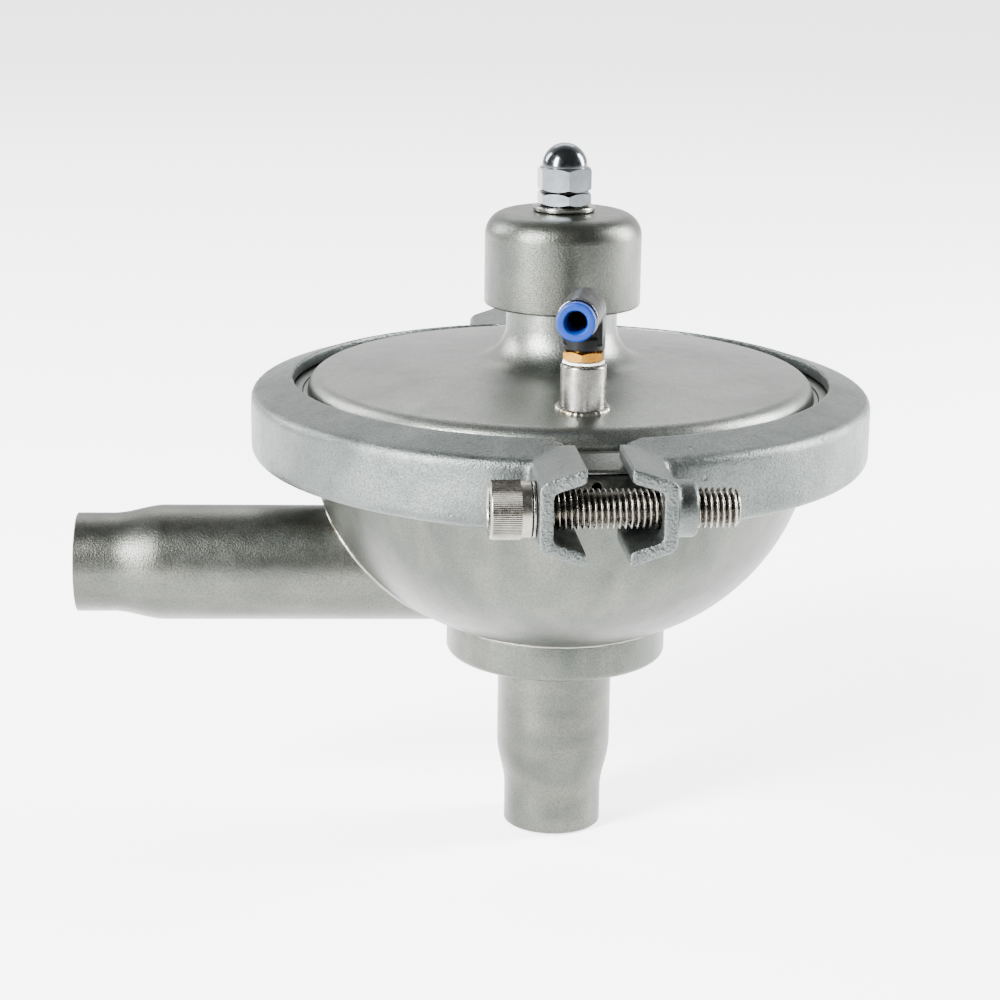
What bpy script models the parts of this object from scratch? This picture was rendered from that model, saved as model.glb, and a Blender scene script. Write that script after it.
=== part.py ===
"""Constant-pressure modulating diaphragm valve, sanitary pattern, as an assembly of separate pieces.

Frame: metres, +Z up. The origin is the centre of the outlet tube's weld end, and the valve's axis is +Z.
The inlet tube runs along -X. The clamp and its screws are turned by CLAMP_TURN about the axis.
Pieces that touch in the real valve keep GAP between them.
"""
import math

import bmesh
import bpy
from mathutils import Matrix, Vector

MM = 0.001
GAP = 0.3 * MM

# Facets round a turned piece
FINE = 36
MEDIUM = 24
COARSE = 16

# Tubes: 38 mm tube drawn down to a smaller weld end
TUBE_R = 19.0 * MM
TUBE_END_R = 16.3 * MM
TUBE_WALL = 1.6 * MM
TUBE_STRAIGHT = 11.7 * MM
TUBE_TAPER = 17.6 * MM
INLET_REACH = 158.5 * MM
INLET_Z = 90.5 * MM

# Heights up the valve's axis
HUB_BOTTOM_Z = 60.5 * MM
HUB_TOP_Z = 72.5 * MM
CLAMP_Z = 140.0 * MM
COVER_NECK_TOP_Z = 183.0 * MM
BONNET_BOTTOM_Z = 178.3 * MM
BONNET_TOP_Z = 208.3 * MM
CAP_NUT_TOP_Z = 230.2 * MM

# Bowl: its outside is one arc, centred level with the clamp
WALL = 3.0 * MM
BOWL_ARC_R = 70.6 * MM
BOWL_ARC_CENTRE_R = 12.3 * MM
BOWL_ARC_CENTRE_Z = 139.2 * MM
BOWL_MOUTH_R = 33.0 * MM

# Seat housing and seat
HUB_R = 36.5 * MM
SEAT_BORE_R = 25.0 * MM
SEAT_OUTER_R = 30.0 * MM
SEAT_TOP_Z = 75.0 * MM
SEAT_BOTTOM_Z = 66.8 * MM

# Flanges inside the clamp
FLANGE_R = 95.4 * MM
FLANGE_STEP_R = 87.1 * MM
FLANGE_RIM_HALF = 6.7 * MM
FLANGE_STEP_HALF = 9.7 * MM
RECESS_R = 88.0 * MM
RECESS_FLOOR = -1.5 * MM
BODY_RIM_TOP = 5.2 * MM

# Cover
DOME_EDGE_R = 5.9 * MM
DOME_EDGE_CENTRE_R = 76.5 * MM
DOME_EDGE_CENTRE_Z = 149.8 * MM
NECK_R = 18.0 * MM
NECK_FILLET_R = 12.0 * MM
DOME_TOP_Z = 159.8 * MM
NECK_PLATE_R = 22.1 * MM
BUSH_BORE_R = 9.3 * MM
BUSH_SEAT_Z = 163.0 * MM
BUSH_TOP_Z = 175.0 * MM
STEM_SEAL_TOP_Z = 178.3 * MM
RETAINER_TOP_Z = 180.1 * MM

# Bonnet
BONNET_R = 25.3 * MM
BONNET_SHOULDER_R = 7.5 * MM

# Stem group, held closed on the seat
STEM_R = 5.0 * MM
STEM_BODY_R = 6.5 * MM
STEM_BORE_R = STEM_R + GAP
STEM_TOP_Z = 189.5 * MM
STEM_BOTTOM_Z = 70.3 * MM
DIAPHRAGM_DROP = 10.0 * MM
DIAPHRAGM_THICKNESS = 2.0 * MM
DISC_R = 30.0 * MM

# Bias spring and its adjusting spindle
SPRING_R = 10.5 * MM
SPRING_WIRE_R = 0.6 * MM
SPRING_TURNS = 3.0
SPRING_BOTTOM_Z = 186.3 * MM
SPRING_TOP_Z = 197.9 * MM
SPRING_SEAT_R = 13.0 * MM
SPRING_SEAT_TOP_Z = 201.2 * MM
SPINDLE_R = 5.0 * MM
NUT_ACROSS_FLATS = 16.0 * MM
NUT_TURN = math.radians(35.7)
TOP_WASHER_R = 9.95 * MM
TOP_WASHER_TOP_Z = 210.2 * MM
LOCK_NUT_TOP_Z = 214.7 * MM
CAP_HEX_TOP_Z = 222.6 * MM

# Air connection: welded boss and push-in elbow
AIR_X = 2.7 * MM
AIR_Y = -61.0 * MM
BOSS_R = 7.0 * MM
BOSS_BOTTOM_Z = 152.5 * MM
BOSS_TOP_Z = 171.3 * MM
FITTING_ACROSS_FLATS = 12.0 * MM
ELBOW_AXIS_Z = 188.2 * MM
ELBOW_TURN = math.radians(-11.0)
ELBOW_REACH = 18.2 * MM
BARREL_R = 6.4 * MM

# Clamp: a channel with sloping flanges, bent outward into two lugs
CLAMP_TURN = math.radians(2.8)
CLAMP_INNER_R = 87.1 * MM
CLAMP_DEPTH = 13.7 * MM
CLAMP_WEB_HALF = 10.0 * MM
CLAMP_SLOPE = math.tan(math.radians(18.5))
CLAMP_THICKNESS = 4.2 * MM
CLAMP_EDGE_R = 3.5 * MM
LUG_TIP_X = 6.2 * MM
LUG_REACH = 124.0 * MM
LUG_CORNER_R = 12.0 * MM
SCREW_Y = 113.0 * MM
SCREW_R = 5.85 * MM
SCREW_LENGTH = 60.0 * MM
SCREW_HEAD_R = 8.6 * MM
SCREW_HEAD_LENGTH = 12.0 * MM
WASHER_THICKNESS = 0.8 * MM
THREAD_BOSS_R = 8.4 * MM
THREAD_BOSS_LENGTH = 6.4 * MM

for old in list(bpy.data.objects):
    bpy.data.objects.remove(old, do_unlink=True)

parts = bpy.data.collections.new("diaphragm_valve")
cutters = bpy.data.collections.new("cutters")
bpy.context.scene.collection.children.link(parts)
bpy.context.scene.collection.children.link(cutters)


# ---------------------------------------------------------------- materials

def finish(name, colour, roughness, metallic):
    """A Principled material with the part's colour, roughness and metallic value."""
    material = bpy.data.materials.new(name)
    material.use_nodes = True
    shader = material.node_tree.nodes["Principled BSDF"]
    shader.inputs["Base Color"].default_value = (*colour, 1.0)
    shader.inputs["Roughness"].default_value = roughness
    shader.inputs["Metallic"].default_value = metallic
    material.diffuse_color = (*colour, 1.0)
    return material


blasted_steel = finish("blasted_steel", (0.55, 0.56, 0.54), 0.42, 1.0)
cast_steel = finish("cast_steel", (0.58, 0.60, 0.60), 0.48, 1.0)
bright_steel = finish("bright_steel", (0.72, 0.73, 0.74), 0.18, 1.0)
dark_steel = finish("dark_steel", (0.35, 0.35, 0.34), 0.35, 1.0)
brass = finish("brass", (0.80, 0.58, 0.27), 0.30, 1.0)
black_plastic = finish("black_plastic", (0.02, 0.02, 0.025), 0.40, 0.0)
blue_plastic = finish("blue_plastic", (0.02, 0.20, 0.80), 0.35, 0.0)
white_tape = finish("white_tape", (0.85, 0.85, 0.83), 0.70, 0.0)
black_rubber = finish("black_rubber", (0.03, 0.03, 0.03), 0.80, 0.0)
white_polymer = finish("white_polymer", (0.80, 0.80, 0.76), 0.50, 0.0)


# ---------------------------------------------------------------- modelling helpers

def arc(centre, radius, start, end, steps=6):
    """Points on a circle from the start angle to the end angle, both in degrees."""
    points = []
    for step in range(steps + 1):
        angle = math.radians(start + (end - start) * step / steps)
        points.append((centre[0] + radius * math.cos(angle), centre[1] + radius * math.sin(angle)))
    return points


def rounded(before, corner, after, radius, steps=4):
    """The corner between two straight edges, replaced by an arc of this radius."""
    corner = Vector(corner)
    to_before = (Vector(before) - corner).normalized()
    to_after = (Vector(after) - corner).normalized()
    half_angle = to_before.angle(to_after) / 2
    centre = corner + (to_before + to_after).normalized() * radius / math.sin(half_angle)
    first = corner + to_before * radius / math.tan(half_angle) - centre
    last = corner + to_after * radius / math.tan(half_angle) - centre
    points = []
    for step in range(steps + 1):
        direction = first.lerp(last, step / steps).normalized()
        points.append(tuple(centre + direction * radius))
    return points


def add_object(name, data, material=None, collection=None):
    """A new object holding this mesh or curve."""
    thing = bpy.data.objects.new(name, data)
    (collection or parts).objects.link(thing)
    if material:
        data.materials.append(material)
    return thing


def as_cutter(thing):
    """Keep a construction solid out of the model."""
    for owner in list(thing.users_collection):
        owner.objects.unlink(thing)
    cutters.objects.link(thing)
    thing.hide_render = True
    thing.display_type = "WIRE"
    return thing


def turned(name, outline, material=None, segments=FINE):
    """A turned piece: an outline of (radius, height) spun about Z.

    An outline that starts and ends on the axis makes a solid, any other is closed into a ring.
    """
    solid = outline[0][0] == 0 and outline[-1][0] == 0
    vertices = [(radius, 0.0, height) for radius, height in outline]
    edges = [(index, index + 1) for index in range(len(outline) - 1)]
    if not solid:
        edges.append((len(outline) - 1, 0))
    mesh = bpy.data.meshes.new(name)
    mesh.from_pydata(vertices, edges, [])
    thing = add_object(name, mesh, material)
    screw = thing.modifiers.new("Spin", "SCREW")
    screw.steps = segments
    screw.render_steps = segments
    screw.use_merge_vertices = True
    screw.merge_threshold = 0.00001
    screw.use_smooth_shade = True
    return thing


def bar(name, radius, bottom, top, segments=COARSE, material=None, turn=0.0):
    """A round or many-sided bar standing on Z, from one height to another."""
    mesh = bpy.data.meshes.new(name)
    shape = bmesh.new()
    place = Matrix.Translation((0, 0, (bottom + top) / 2)) @ Matrix.Rotation(turn, 4, "Z")
    bmesh.ops.create_cone(
        shape,
        cap_ends=True,
        segments=segments,
        radius1=radius,
        radius2=radius,
        depth=top - bottom,
        matrix=place,
    )
    shape.to_mesh(mesh)
    shape.free()
    return add_object(name, mesh, material)


def block(name, low, high):
    """A box between two corners."""
    mesh = bpy.data.meshes.new(name)
    shape = bmesh.new()
    size = Vector(high) - Vector(low)
    place = Matrix.Translation((Vector(low) + Vector(high)) / 2) @ Matrix.Diagonal((*size, 1.0))
    bmesh.ops.create_cube(shape, size=1.0, matrix=place)
    shape.to_mesh(mesh)
    shape.free()
    return add_object(name, mesh)


def baked(thing):
    """Turn a curve or a piece with modifiers into a plain mesh object of the same name."""
    bpy.context.view_layer.update()
    graph = bpy.context.evaluated_depsgraph_get()
    mesh = bpy.data.meshes.new_from_object(thing.evaluated_get(graph))
    shape = bmesh.new()
    shape.from_mesh(mesh)
    bmesh.ops.remove_doubles(shape, verts=shape.verts, dist=0.000001)
    shape.to_mesh(mesh)
    shape.free()
    name = thing.name
    place = thing.matrix_world.copy()
    bpy.data.objects.remove(thing, do_unlink=True)
    mesh.name = name
    solid = bpy.data.objects.new(name, mesh)
    parts.objects.link(solid)
    solid.matrix_world = place
    return solid


def prism(name, outline, bottom, top):
    """A flat outline of (x, y) made into a solid between two heights."""
    curve = bpy.data.curves.new(name, "CURVE")
    curve.dimensions = "2D"
    curve.fill_mode = "BOTH"
    curve.extrude = (top - bottom) / 2
    spline = curve.splines.new("POLY")
    spline.points.add(len(outline) - 1)
    for point, (x, y) in zip(spline.points, outline):
        point.co = (x, y, 0.0, 1.0)
    spline.use_cyclic_u = True
    thing = add_object(name, curve)
    thing.location.z = (top + bottom) / 2
    return baked(thing)


def combine(thing, tool, operation):
    """Join another solid to a piece, or cut it away."""
    step = thing.modifiers.new(operation.title(), "BOOLEAN")
    step.operation = operation
    step.solver = "EXACT"
    step.object = as_cutter(tool)
    return thing


def across_corners(across_flats):
    """Corner radius of a hexagon of this width."""
    return across_flats / 2 / math.cos(math.radians(30))


def along_x(thing, location):
    """Lay a piece that was made on Z along -X, its own origin at this location."""
    thing.rotation_euler = (0.0, math.radians(-90), 0.0)
    thing.location = location
    return thing


# ---------------------------------------------------------------- body, seat and tubes

def drawn_tube(name, near, far, material):
    """A thin tube from the near end to a drawn-down weld end at the far end, standing on Z."""
    taper_end = far - TUBE_STRAIGHT
    taper_start = taper_end - TUBE_TAPER
    outer = [(TUBE_END_R, far), (TUBE_END_R, taper_end)]
    for step in range(1, 6):
        share = step / 6
        ease = (1 - math.cos(math.pi * share)) / 2
        height = taper_end + (taper_start - taper_end) * share
        outer.append((TUBE_END_R + (TUBE_R - TUBE_END_R) * ease, height))
    outer += [(TUBE_R, taper_start), (TUBE_R, near)]
    inner = [(radius - TUBE_WALL, height) for radius, height in reversed(outer)]
    return turned(name, outer + inner, material, MEDIUM)


def bowl_arc(radius, start_z, end_r, steps):
    """Points down the bowl's wall, from a height to a radius."""
    start = math.degrees(math.asin((start_z - BOWL_ARC_CENTRE_Z) / radius))
    end = -math.degrees(math.acos((end_r - BOWL_ARC_CENTRE_R) / radius))
    return arc((BOWL_ARC_CENTRE_R, BOWL_ARC_CENTRE_Z), radius, start, end, steps)


def make_bowl():
    """Bowl with its clamp flange, the recess for the diaphragm's bead and the leak hole in the rim."""
    inner_arc_r = BOWL_ARC_R - WALL
    rim_top = CLAMP_Z + BODY_RIM_TOP
    floor = CLAMP_Z + RECESS_FLOOR
    flange_under = CLAMP_Z - FLANGE_STEP_HALF
    outline = [(RECESS_R, floor), (RECESS_R, rim_top)]
    outline += rounded((RECESS_R, rim_top), (FLANGE_R, rim_top), (FLANGE_R, floor), 2.2 * MM)
    outline += [(FLANGE_R, CLAMP_Z - FLANGE_RIM_HALF), (FLANGE_STEP_R, flange_under)]
    outline += bowl_arc(BOWL_ARC_R, flange_under, HUB_R, 12)
    outline.append((BOWL_MOUTH_R, outline[-1][1]))
    outline += list(reversed(bowl_arc(inner_arc_r, floor, BOWL_MOUTH_R, 12)))
    thing = turned("bowl", outline, blasted_steel)
    port = bar("cut_inlet_port", TUBE_R + GAP, 38.0 * MM, 100.0 * MM, MEDIUM)
    combine(thing, along_x(port, (0, 0, INLET_Z)), "DIFFERENCE")
    leak = bar("cut_leak_hole", 1.5 * MM, 85.0 * MM, 100.0 * MM, 12)
    leak.rotation_euler = (math.radians(90), 0.0, CLAMP_TURN)
    leak.location.z = CLAMP_Z + 1.3 * MM
    combine(thing, leak, "DIFFERENCE")
    return thing


def make_inlet_tube():
    """Inlet tube along -X, its inner end cut flush with the inside of the bowl."""
    thing = drawn_tube("inlet_tube", 38.0 * MM + GAP, INLET_REACH, blasted_steel)
    along_x(thing, (0, 0, INLET_Z))
    inner_arc_r = BOWL_ARC_R - WALL
    wall = list(bowl_arc(inner_arc_r, BOWL_ARC_CENTRE_Z, BOWL_MOUTH_R, 12))
    cavity = turned("cut_bowl_cavity", [(0, BOWL_ARC_CENTRE_Z)] + wall + [(0, wall[-1][1])])
    return combine(thing, cavity, "DIFFERENCE")


def make_outlet_tube():
    """Outlet tube straight down from the seat housing."""
    length = HUB_BOTTOM_Z - GAP
    thing = drawn_tube("outlet_tube", 0.0, length, blasted_steel)
    thing.rotation_euler.x = math.pi
    thing.location.z = length
    return thing


def make_seat_housing():
    """Thick hub under the bowl that holds the seat ring and carries the outlet tube."""
    bore = TUBE_R - TUBE_WALL
    recess = SEAT_OUTER_R + GAP
    recess_floor = SEAT_BOTTOM_Z - GAP
    outline = [(recess, HUB_TOP_Z), (HUB_R, HUB_TOP_Z)]
    outline += rounded((HUB_R, HUB_TOP_Z), (HUB_R, HUB_BOTTOM_Z), (bore, HUB_BOTTOM_Z), 2.0 * MM, 2)
    outline += [(bore, HUB_BOTTOM_Z), (bore, HUB_BOTTOM_Z + 1.0 * MM)]
    outline += [(SEAT_BORE_R - 1.0 * MM, recess_floor), (recess, recess_floor)]
    return turned("seat_housing", outline, blasted_steel)


def make_seat_ring():
    """Seat with a conical mouth and a groove for its O-ring."""
    lip = 2.0 * MM
    groove_floor = 27.6 * MM
    groove_low = 69.0 * MM
    groove_high = 71.4 * MM
    outline = [(SEAT_BORE_R + lip, SEAT_TOP_Z), (SEAT_OUTER_R - 1.0 * MM, SEAT_TOP_Z)]
    outline += [(SEAT_OUTER_R, SEAT_TOP_Z - 1.0 * MM), (SEAT_OUTER_R, groove_high)]
    outline += [(groove_floor, groove_high), (groove_floor, groove_low), (SEAT_OUTER_R, groove_low)]
    outline += [(SEAT_OUTER_R, SEAT_BOTTOM_Z), (SEAT_BORE_R, SEAT_BOTTOM_Z)]
    outline += [(SEAT_BORE_R, SEAT_TOP_Z - lip)]
    return turned("seat_ring", outline, bright_steel, MEDIUM)


def o_ring(name, centre_r, centre_z, radius, segments=MEDIUM):
    """A rubber ring of round section."""
    section = arc((centre_r, centre_z), radius, 90, -270, 8)[:-1]
    return turned(name, section, black_rubber, segments)


# ---------------------------------------------------------------- cover and bonnet

def make_cover():
    """Cover: flange, steep rounded edge, shallow dome, neck and the plate that the bonnet sits on."""
    plate_under = COVER_NECK_TOP_Z - 3.4 * MM
    fillet_z = DOME_TOP_Z + NECK_FILLET_R
    fillet_r = NECK_R + NECK_FILLET_R
    step_z = CLAMP_Z + FLANGE_STEP_HALF
    groove_z = step_z - 0.7 * MM
    edge_centre = (DOME_EDGE_CENTRE_R, DOME_EDGE_CENTRE_Z)
    edge_foot_r = DOME_EDGE_CENTRE_R + DOME_EDGE_R
    inside_edge_r = DOME_EDGE_R - WALL
    rim_under = CLAMP_Z + BODY_RIM_TOP + GAP
    register_r = RECESS_R - GAP
    underside = CLAMP_Z + 1.8 * MM
    ceiling_z = DOME_TOP_Z - WALL
    outline = [(BUSH_BORE_R, COVER_NECK_TOP_Z), (NECK_PLATE_R, COVER_NECK_TOP_Z)]
    outline += [(NECK_PLATE_R, plate_under), (NECK_R, plate_under)]
    outline += arc((fillet_r, fillet_z), NECK_FILLET_R, 180, 270, 6)
    outline += arc(edge_centre, DOME_EDGE_R, 86, 0, 7)
    outline += [(edge_foot_r, groove_z), (edge_foot_r + 1.4 * MM, groove_z), (edge_foot_r + 1.7 * MM, step_z)]
    outline += [(FLANGE_STEP_R, step_z), (FLANGE_R, CLAMP_Z + FLANGE_RIM_HALF), (FLANGE_R, rim_under)]
    outline += [(register_r, rim_under), (register_r, underside), (DOME_EDGE_CENTRE_R + inside_edge_r, underside)]
    outline += arc(edge_centre, inside_edge_r, 0, 86, 5)
    outline += [(fillet_r, ceiling_z), (STEM_R + 1.2 * MM, ceiling_z), (STEM_R + 1.2 * MM, BUSH_SEAT_Z)]
    outline += [(BUSH_BORE_R, BUSH_SEAT_Z)]
    thing = turned("cover", outline, blasted_steel)
    hole = bar("cut_air_hole", BOSS_R + GAP, 145.0 * MM, 170.0 * MM, COARSE)
    hole.location = (AIR_X, AIR_Y, 0)
    return combine(thing, hole, "DIFFERENCE")


def make_bonnet():
    """Bell-shaped bonnet over the spring, open below."""
    hole = SPINDLE_R + GAP
    inner_r = NECK_PLATE_R + GAP
    shoulder = (BONNET_R - BONNET_SHOULDER_R, BONNET_TOP_Z - BONNET_SHOULDER_R)
    outline = [(hole, BONNET_TOP_Z)]
    outline += arc(shoulder, BONNET_SHOULDER_R, 90, 0, 6)
    outline += [(BONNET_R, BONNET_BOTTOM_Z + 0.6 * MM), (BONNET_R - 0.6 * MM, BONNET_BOTTOM_Z)]
    outline += [(inner_r, BONNET_BOTTOM_Z)]
    outline += arc(shoulder, inner_r - shoulder[0], 0, 90, 4)
    outline += [(hole, shoulder[1] + inner_r - shoulder[0])]
    return turned("bonnet", outline, blasted_steel, MEDIUM)


def ring(name, inner_r, outer_r, bottom, top, material, segments=COARSE):
    """A plain flat ring or sleeve."""
    outline = [(inner_r, top), (outer_r, top), (outer_r, bottom), (inner_r, bottom)]
    return turned(name, outline, material, segments)


def make_lock_nut():
    """Thin hexagon nut under the cap nut."""
    corner_r = across_corners(NUT_ACROSS_FLATS)
    bottom = TOP_WASHER_TOP_Z + GAP
    thing = bar("lock_nut", corner_r, bottom, LOCK_NUT_TOP_Z, 6, bright_steel, NUT_TURN)
    bore = bar("cut_lock_nut_bore", SPINDLE_R + GAP, bottom - 5 * MM, LOCK_NUT_TOP_Z + 5 * MM)
    return combine(thing, bore, "DIFFERENCE")


def make_cap_nut():
    """Domed cap nut: a hexagon, a short round and a hemisphere, bored from below."""
    bottom = LOCK_NUT_TOP_Z + GAP
    dome_r = 7.3 * MM
    bore_top = 225.8 * MM
    corner_r = across_corners(NUT_ACROSS_FLATS)
    thing = bar("cap_nut", corner_r, bottom, CAP_HEX_TOP_Z, 6, bright_steel, NUT_TURN)
    shoulder_z = CAP_NUT_TOP_Z - dome_r
    dome = [(0, CAP_NUT_TOP_Z)] + arc((0, shoulder_z), dome_r, 75, 0, 5)
    dome += [(dome_r, CAP_HEX_TOP_Z - 2.0 * MM), (0, CAP_HEX_TOP_Z - 2.0 * MM)]
    combine(thing, turned("join_cap_dome", dome, None, COARSE), "UNION")
    return combine(thing, bar("cut_cap_nut_bore", SPINDLE_R + GAP, bottom - 5 * MM, bore_top), "DIFFERENCE")


# ---------------------------------------------------------------- stem, plug and diaphragm

def make_stem():
    """Stem from the plug up into the bonnet, thick between plug and lower disc."""
    shoulder_top = CLAMP_Z - DIAPHRAGM_DROP - 6.1 * MM
    shoulder_bottom = 86.3 * MM
    outline = [(0, STEM_TOP_Z), (STEM_R - 0.6 * MM, STEM_TOP_Z), (STEM_R, STEM_TOP_Z - 0.6 * MM)]
    outline += [(STEM_R, shoulder_top), (STEM_BODY_R, shoulder_top), (STEM_BODY_R, shoulder_bottom)]
    outline += [(STEM_R, shoulder_bottom), (STEM_R, STEM_BOTTOM_Z), (0, STEM_BOTTOM_Z)]
    return turned("stem", outline, bright_steel, COARSE)


def make_plug():
    """Modulating plug: a disc with a conical seat face and a rounded nose below it."""
    rim_r = 27.6 * MM
    nose_top = 70.6 * MM
    nose_bottom = 62.0 * MM
    nose_r = 23.6 * MM
    outline = [(0, 70.0 * MM), (STEM_BORE_R, 70.0 * MM), (STEM_BORE_R, 86.0 * MM), (9.0 * MM, 86.0 * MM)]
    outline += [(9.0 * MM, 82.5 * MM), (rim_r - 1.2 * MM, 80.5 * MM), (rim_r, 79.3 * MM), (rim_r, 76.1 * MM)]
    outline += [(nose_r + 0.6 * MM, 72.7 * MM)]
    for step in range(6):
        angle = math.radians(90 * step / 6)
        outline.append((nose_r * math.cos(angle), nose_top - (nose_top - nose_bottom) * math.sin(angle)))
    outline.append((0, nose_bottom))
    return turned("plug", outline, bright_steel, MEDIUM)


def make_diaphragm():
    """Rubber diaphragm: a bead at the rim, a slack cone and a flat middle gripped by the discs."""
    half = DIAPHRAGM_THICKNESS / 2
    bead_inner_r = 81.0 * MM
    bead_outer_r = 87.4 * MM
    bead_top = CLAMP_Z + 1.5 * MM
    bead_bottom = CLAMP_Z - 1.2 * MM
    centre_z = CLAMP_Z - DIAPHRAGM_DROP
    cone_foot_r = DISC_R + 2.0 * MM
    outline = [(STEM_BORE_R, centre_z + half), (cone_foot_r, centre_z + half), (78.0 * MM, bead_top)]
    outline += [(bead_outer_r, bead_top), (bead_outer_r, bead_bottom), (bead_inner_r, bead_bottom)]
    outline += [(78.6 * MM, bead_bottom), (cone_foot_r, centre_z - half), (STEM_BORE_R, centre_z - half)]
    return turned("diaphragm", outline, black_rubber, MEDIUM)


def make_lower_disc():
    """Polished support disc on the product side of the diaphragm."""
    top = CLAMP_Z - DIAPHRAGM_DROP - DIAPHRAGM_THICKNESS / 2 - GAP
    outline = [(STEM_BORE_R, top), (DISC_R - 1.0 * MM, top), (DISC_R, top - 1.0 * MM)]
    outline += [(DISC_R - 1.0 * MM, top - 2.5 * MM), (12.0 * MM, top - 4.5 * MM), (STEM_BORE_R, top - 4.5 * MM)]
    return turned("lower_disc", outline, bright_steel, MEDIUM)


def make_upper_disc():
    """Support disc on the air side of the diaphragm."""
    bottom = CLAMP_Z - DIAPHRAGM_DROP + DIAPHRAGM_THICKNESS / 2 + GAP
    top = bottom + 3.0 * MM
    outline = [(STEM_BORE_R, top), (DISC_R - 4.0 * MM, top), (DISC_R - 2.0 * MM, top - 1.0 * MM)]
    outline += [(DISC_R - 2.0 * MM, bottom), (STEM_BORE_R, bottom)]
    return turned("upper_disc", outline, bright_steel, MEDIUM)


def make_diaphragm_nut():
    """Hexagon nut that clamps the discs and the diaphragm on the stem."""
    bottom = CLAMP_Z - DIAPHRAGM_DROP + DIAPHRAGM_THICKNESS / 2 + 3.6 * MM
    corner_r = across_corners(NUT_ACROSS_FLATS)
    thing = bar("diaphragm_nut", corner_r, bottom, bottom + 7.0 * MM, 6, bright_steel)
    bore = bar("cut_diaphragm_nut_bore", STEM_BORE_R, bottom - 5 * MM, bottom + 12 * MM)
    return combine(thing, bore, "DIFFERENCE")


def make_bias_spring():
    """Light compression spring, a helix of round wire with flat-lying ends."""
    per_turn = 16
    low = SPRING_BOTTOM_Z + SPRING_WIRE_R
    high = SPRING_TOP_Z - SPRING_WIRE_R
    curve = bpy.data.curves.new("bias_spring", "CURVE")
    curve.dimensions = "3D"
    curve.bevel_depth = SPRING_WIRE_R
    curve.bevel_resolution = 2
    curve.use_fill_caps = True
    count = int(SPRING_TURNS * per_turn) + 1
    spline = curve.splines.new("POLY")
    spline.points.add(count - 1)
    for index, point in enumerate(spline.points):
        share = index / (count - 1)
        angle = 2 * math.pi * SPRING_TURNS * share
        height = low + (high - low) * share
        point.co = (SPRING_R * math.cos(angle), SPRING_R * math.sin(angle), height, 1.0)
    return baked(add_object("bias_spring", curve, dark_steel))


def make_spindle():
    """Adjusting spindle with a collar that bears on the bonnet from inside."""
    collar_r = 8.0 * MM
    collar_top = 205.1 * MM
    collar_bottom = 203.3 * MM
    tip = 198.6 * MM
    top = 225.3 * MM
    outline = [(0, top), (SPINDLE_R - 0.8 * MM, top), (SPINDLE_R, top - 0.8 * MM), (SPINDLE_R, collar_top)]
    outline += [(collar_r, collar_top), (collar_r, collar_bottom), (SPINDLE_R, collar_bottom)]
    outline += [(SPINDLE_R, tip), (0, tip)]
    return turned("spindle", outline, dark_steel, COARSE)


# ---------------------------------------------------------------- air fitting

def make_fitting_stud():
    """Brass stud: threaded shank, hexagon and the spigot that the elbow turns on."""
    shank_bottom = BOSS_TOP_Z - 8.0 * MM
    hex_bottom = BOSS_TOP_Z + 1.3 * MM
    hex_top = hex_bottom + 3.0 * MM
    spigot_top = BOSS_TOP_Z + 13.4 * MM
    groove_top = BOSS_TOP_Z + 11.1 * MM
    groove_bottom = BOSS_TOP_Z + 8.7 * MM
    spigot_r = 4.7 * MM
    groove_r = 3.5 * MM
    corner_r = across_corners(FITTING_ACROSS_FLATS)
    outline = [(2.0 * MM, spigot_top), (spigot_r, spigot_top), (spigot_r, groove_top)]
    outline += [(groove_r, groove_top), (groove_r, groove_bottom), (spigot_r, groove_bottom)]
    outline += [(4.6 * MM, shank_bottom), (2.0 * MM, shank_bottom)]
    thing = turned("fitting_stud", outline, brass, COARSE)
    hexagon = bar("join_stud_hexagon", corner_r, hex_bottom, hex_top, 6, None, math.radians(20))
    combine(hexagon, bar("cut_hexagon_bore", 3.0 * MM, hex_bottom - 2 * MM, hex_top + 2 * MM), "DIFFERENCE")
    combine(thing, hexagon, "UNION")
    thing.location = (AIR_X, AIR_Y, 0)
    hexagon.location = (AIR_X, AIR_Y, 0)
    bpy.data.objects["cut_hexagon_bore"].location = (AIR_X, AIR_Y, 0)
    return thing


def at_boss(thing):
    """Stand a piece on the air boss's axis."""
    thing.location = (AIR_X, AIR_Y, 0)
    return thing


def at_mouth(thing):
    """Lay a piece made on Z along the elbow's mouth, +Z pointing out of it from the elbow's axis."""
    turn = Matrix.Rotation(ELBOW_TURN, 4, "Z") @ Matrix.Rotation(math.radians(90), 4, "X")
    thing.matrix_world = Matrix.Translation((AIR_X, AIR_Y, ELBOW_AXIS_Z)) @ turn
    return thing


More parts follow.
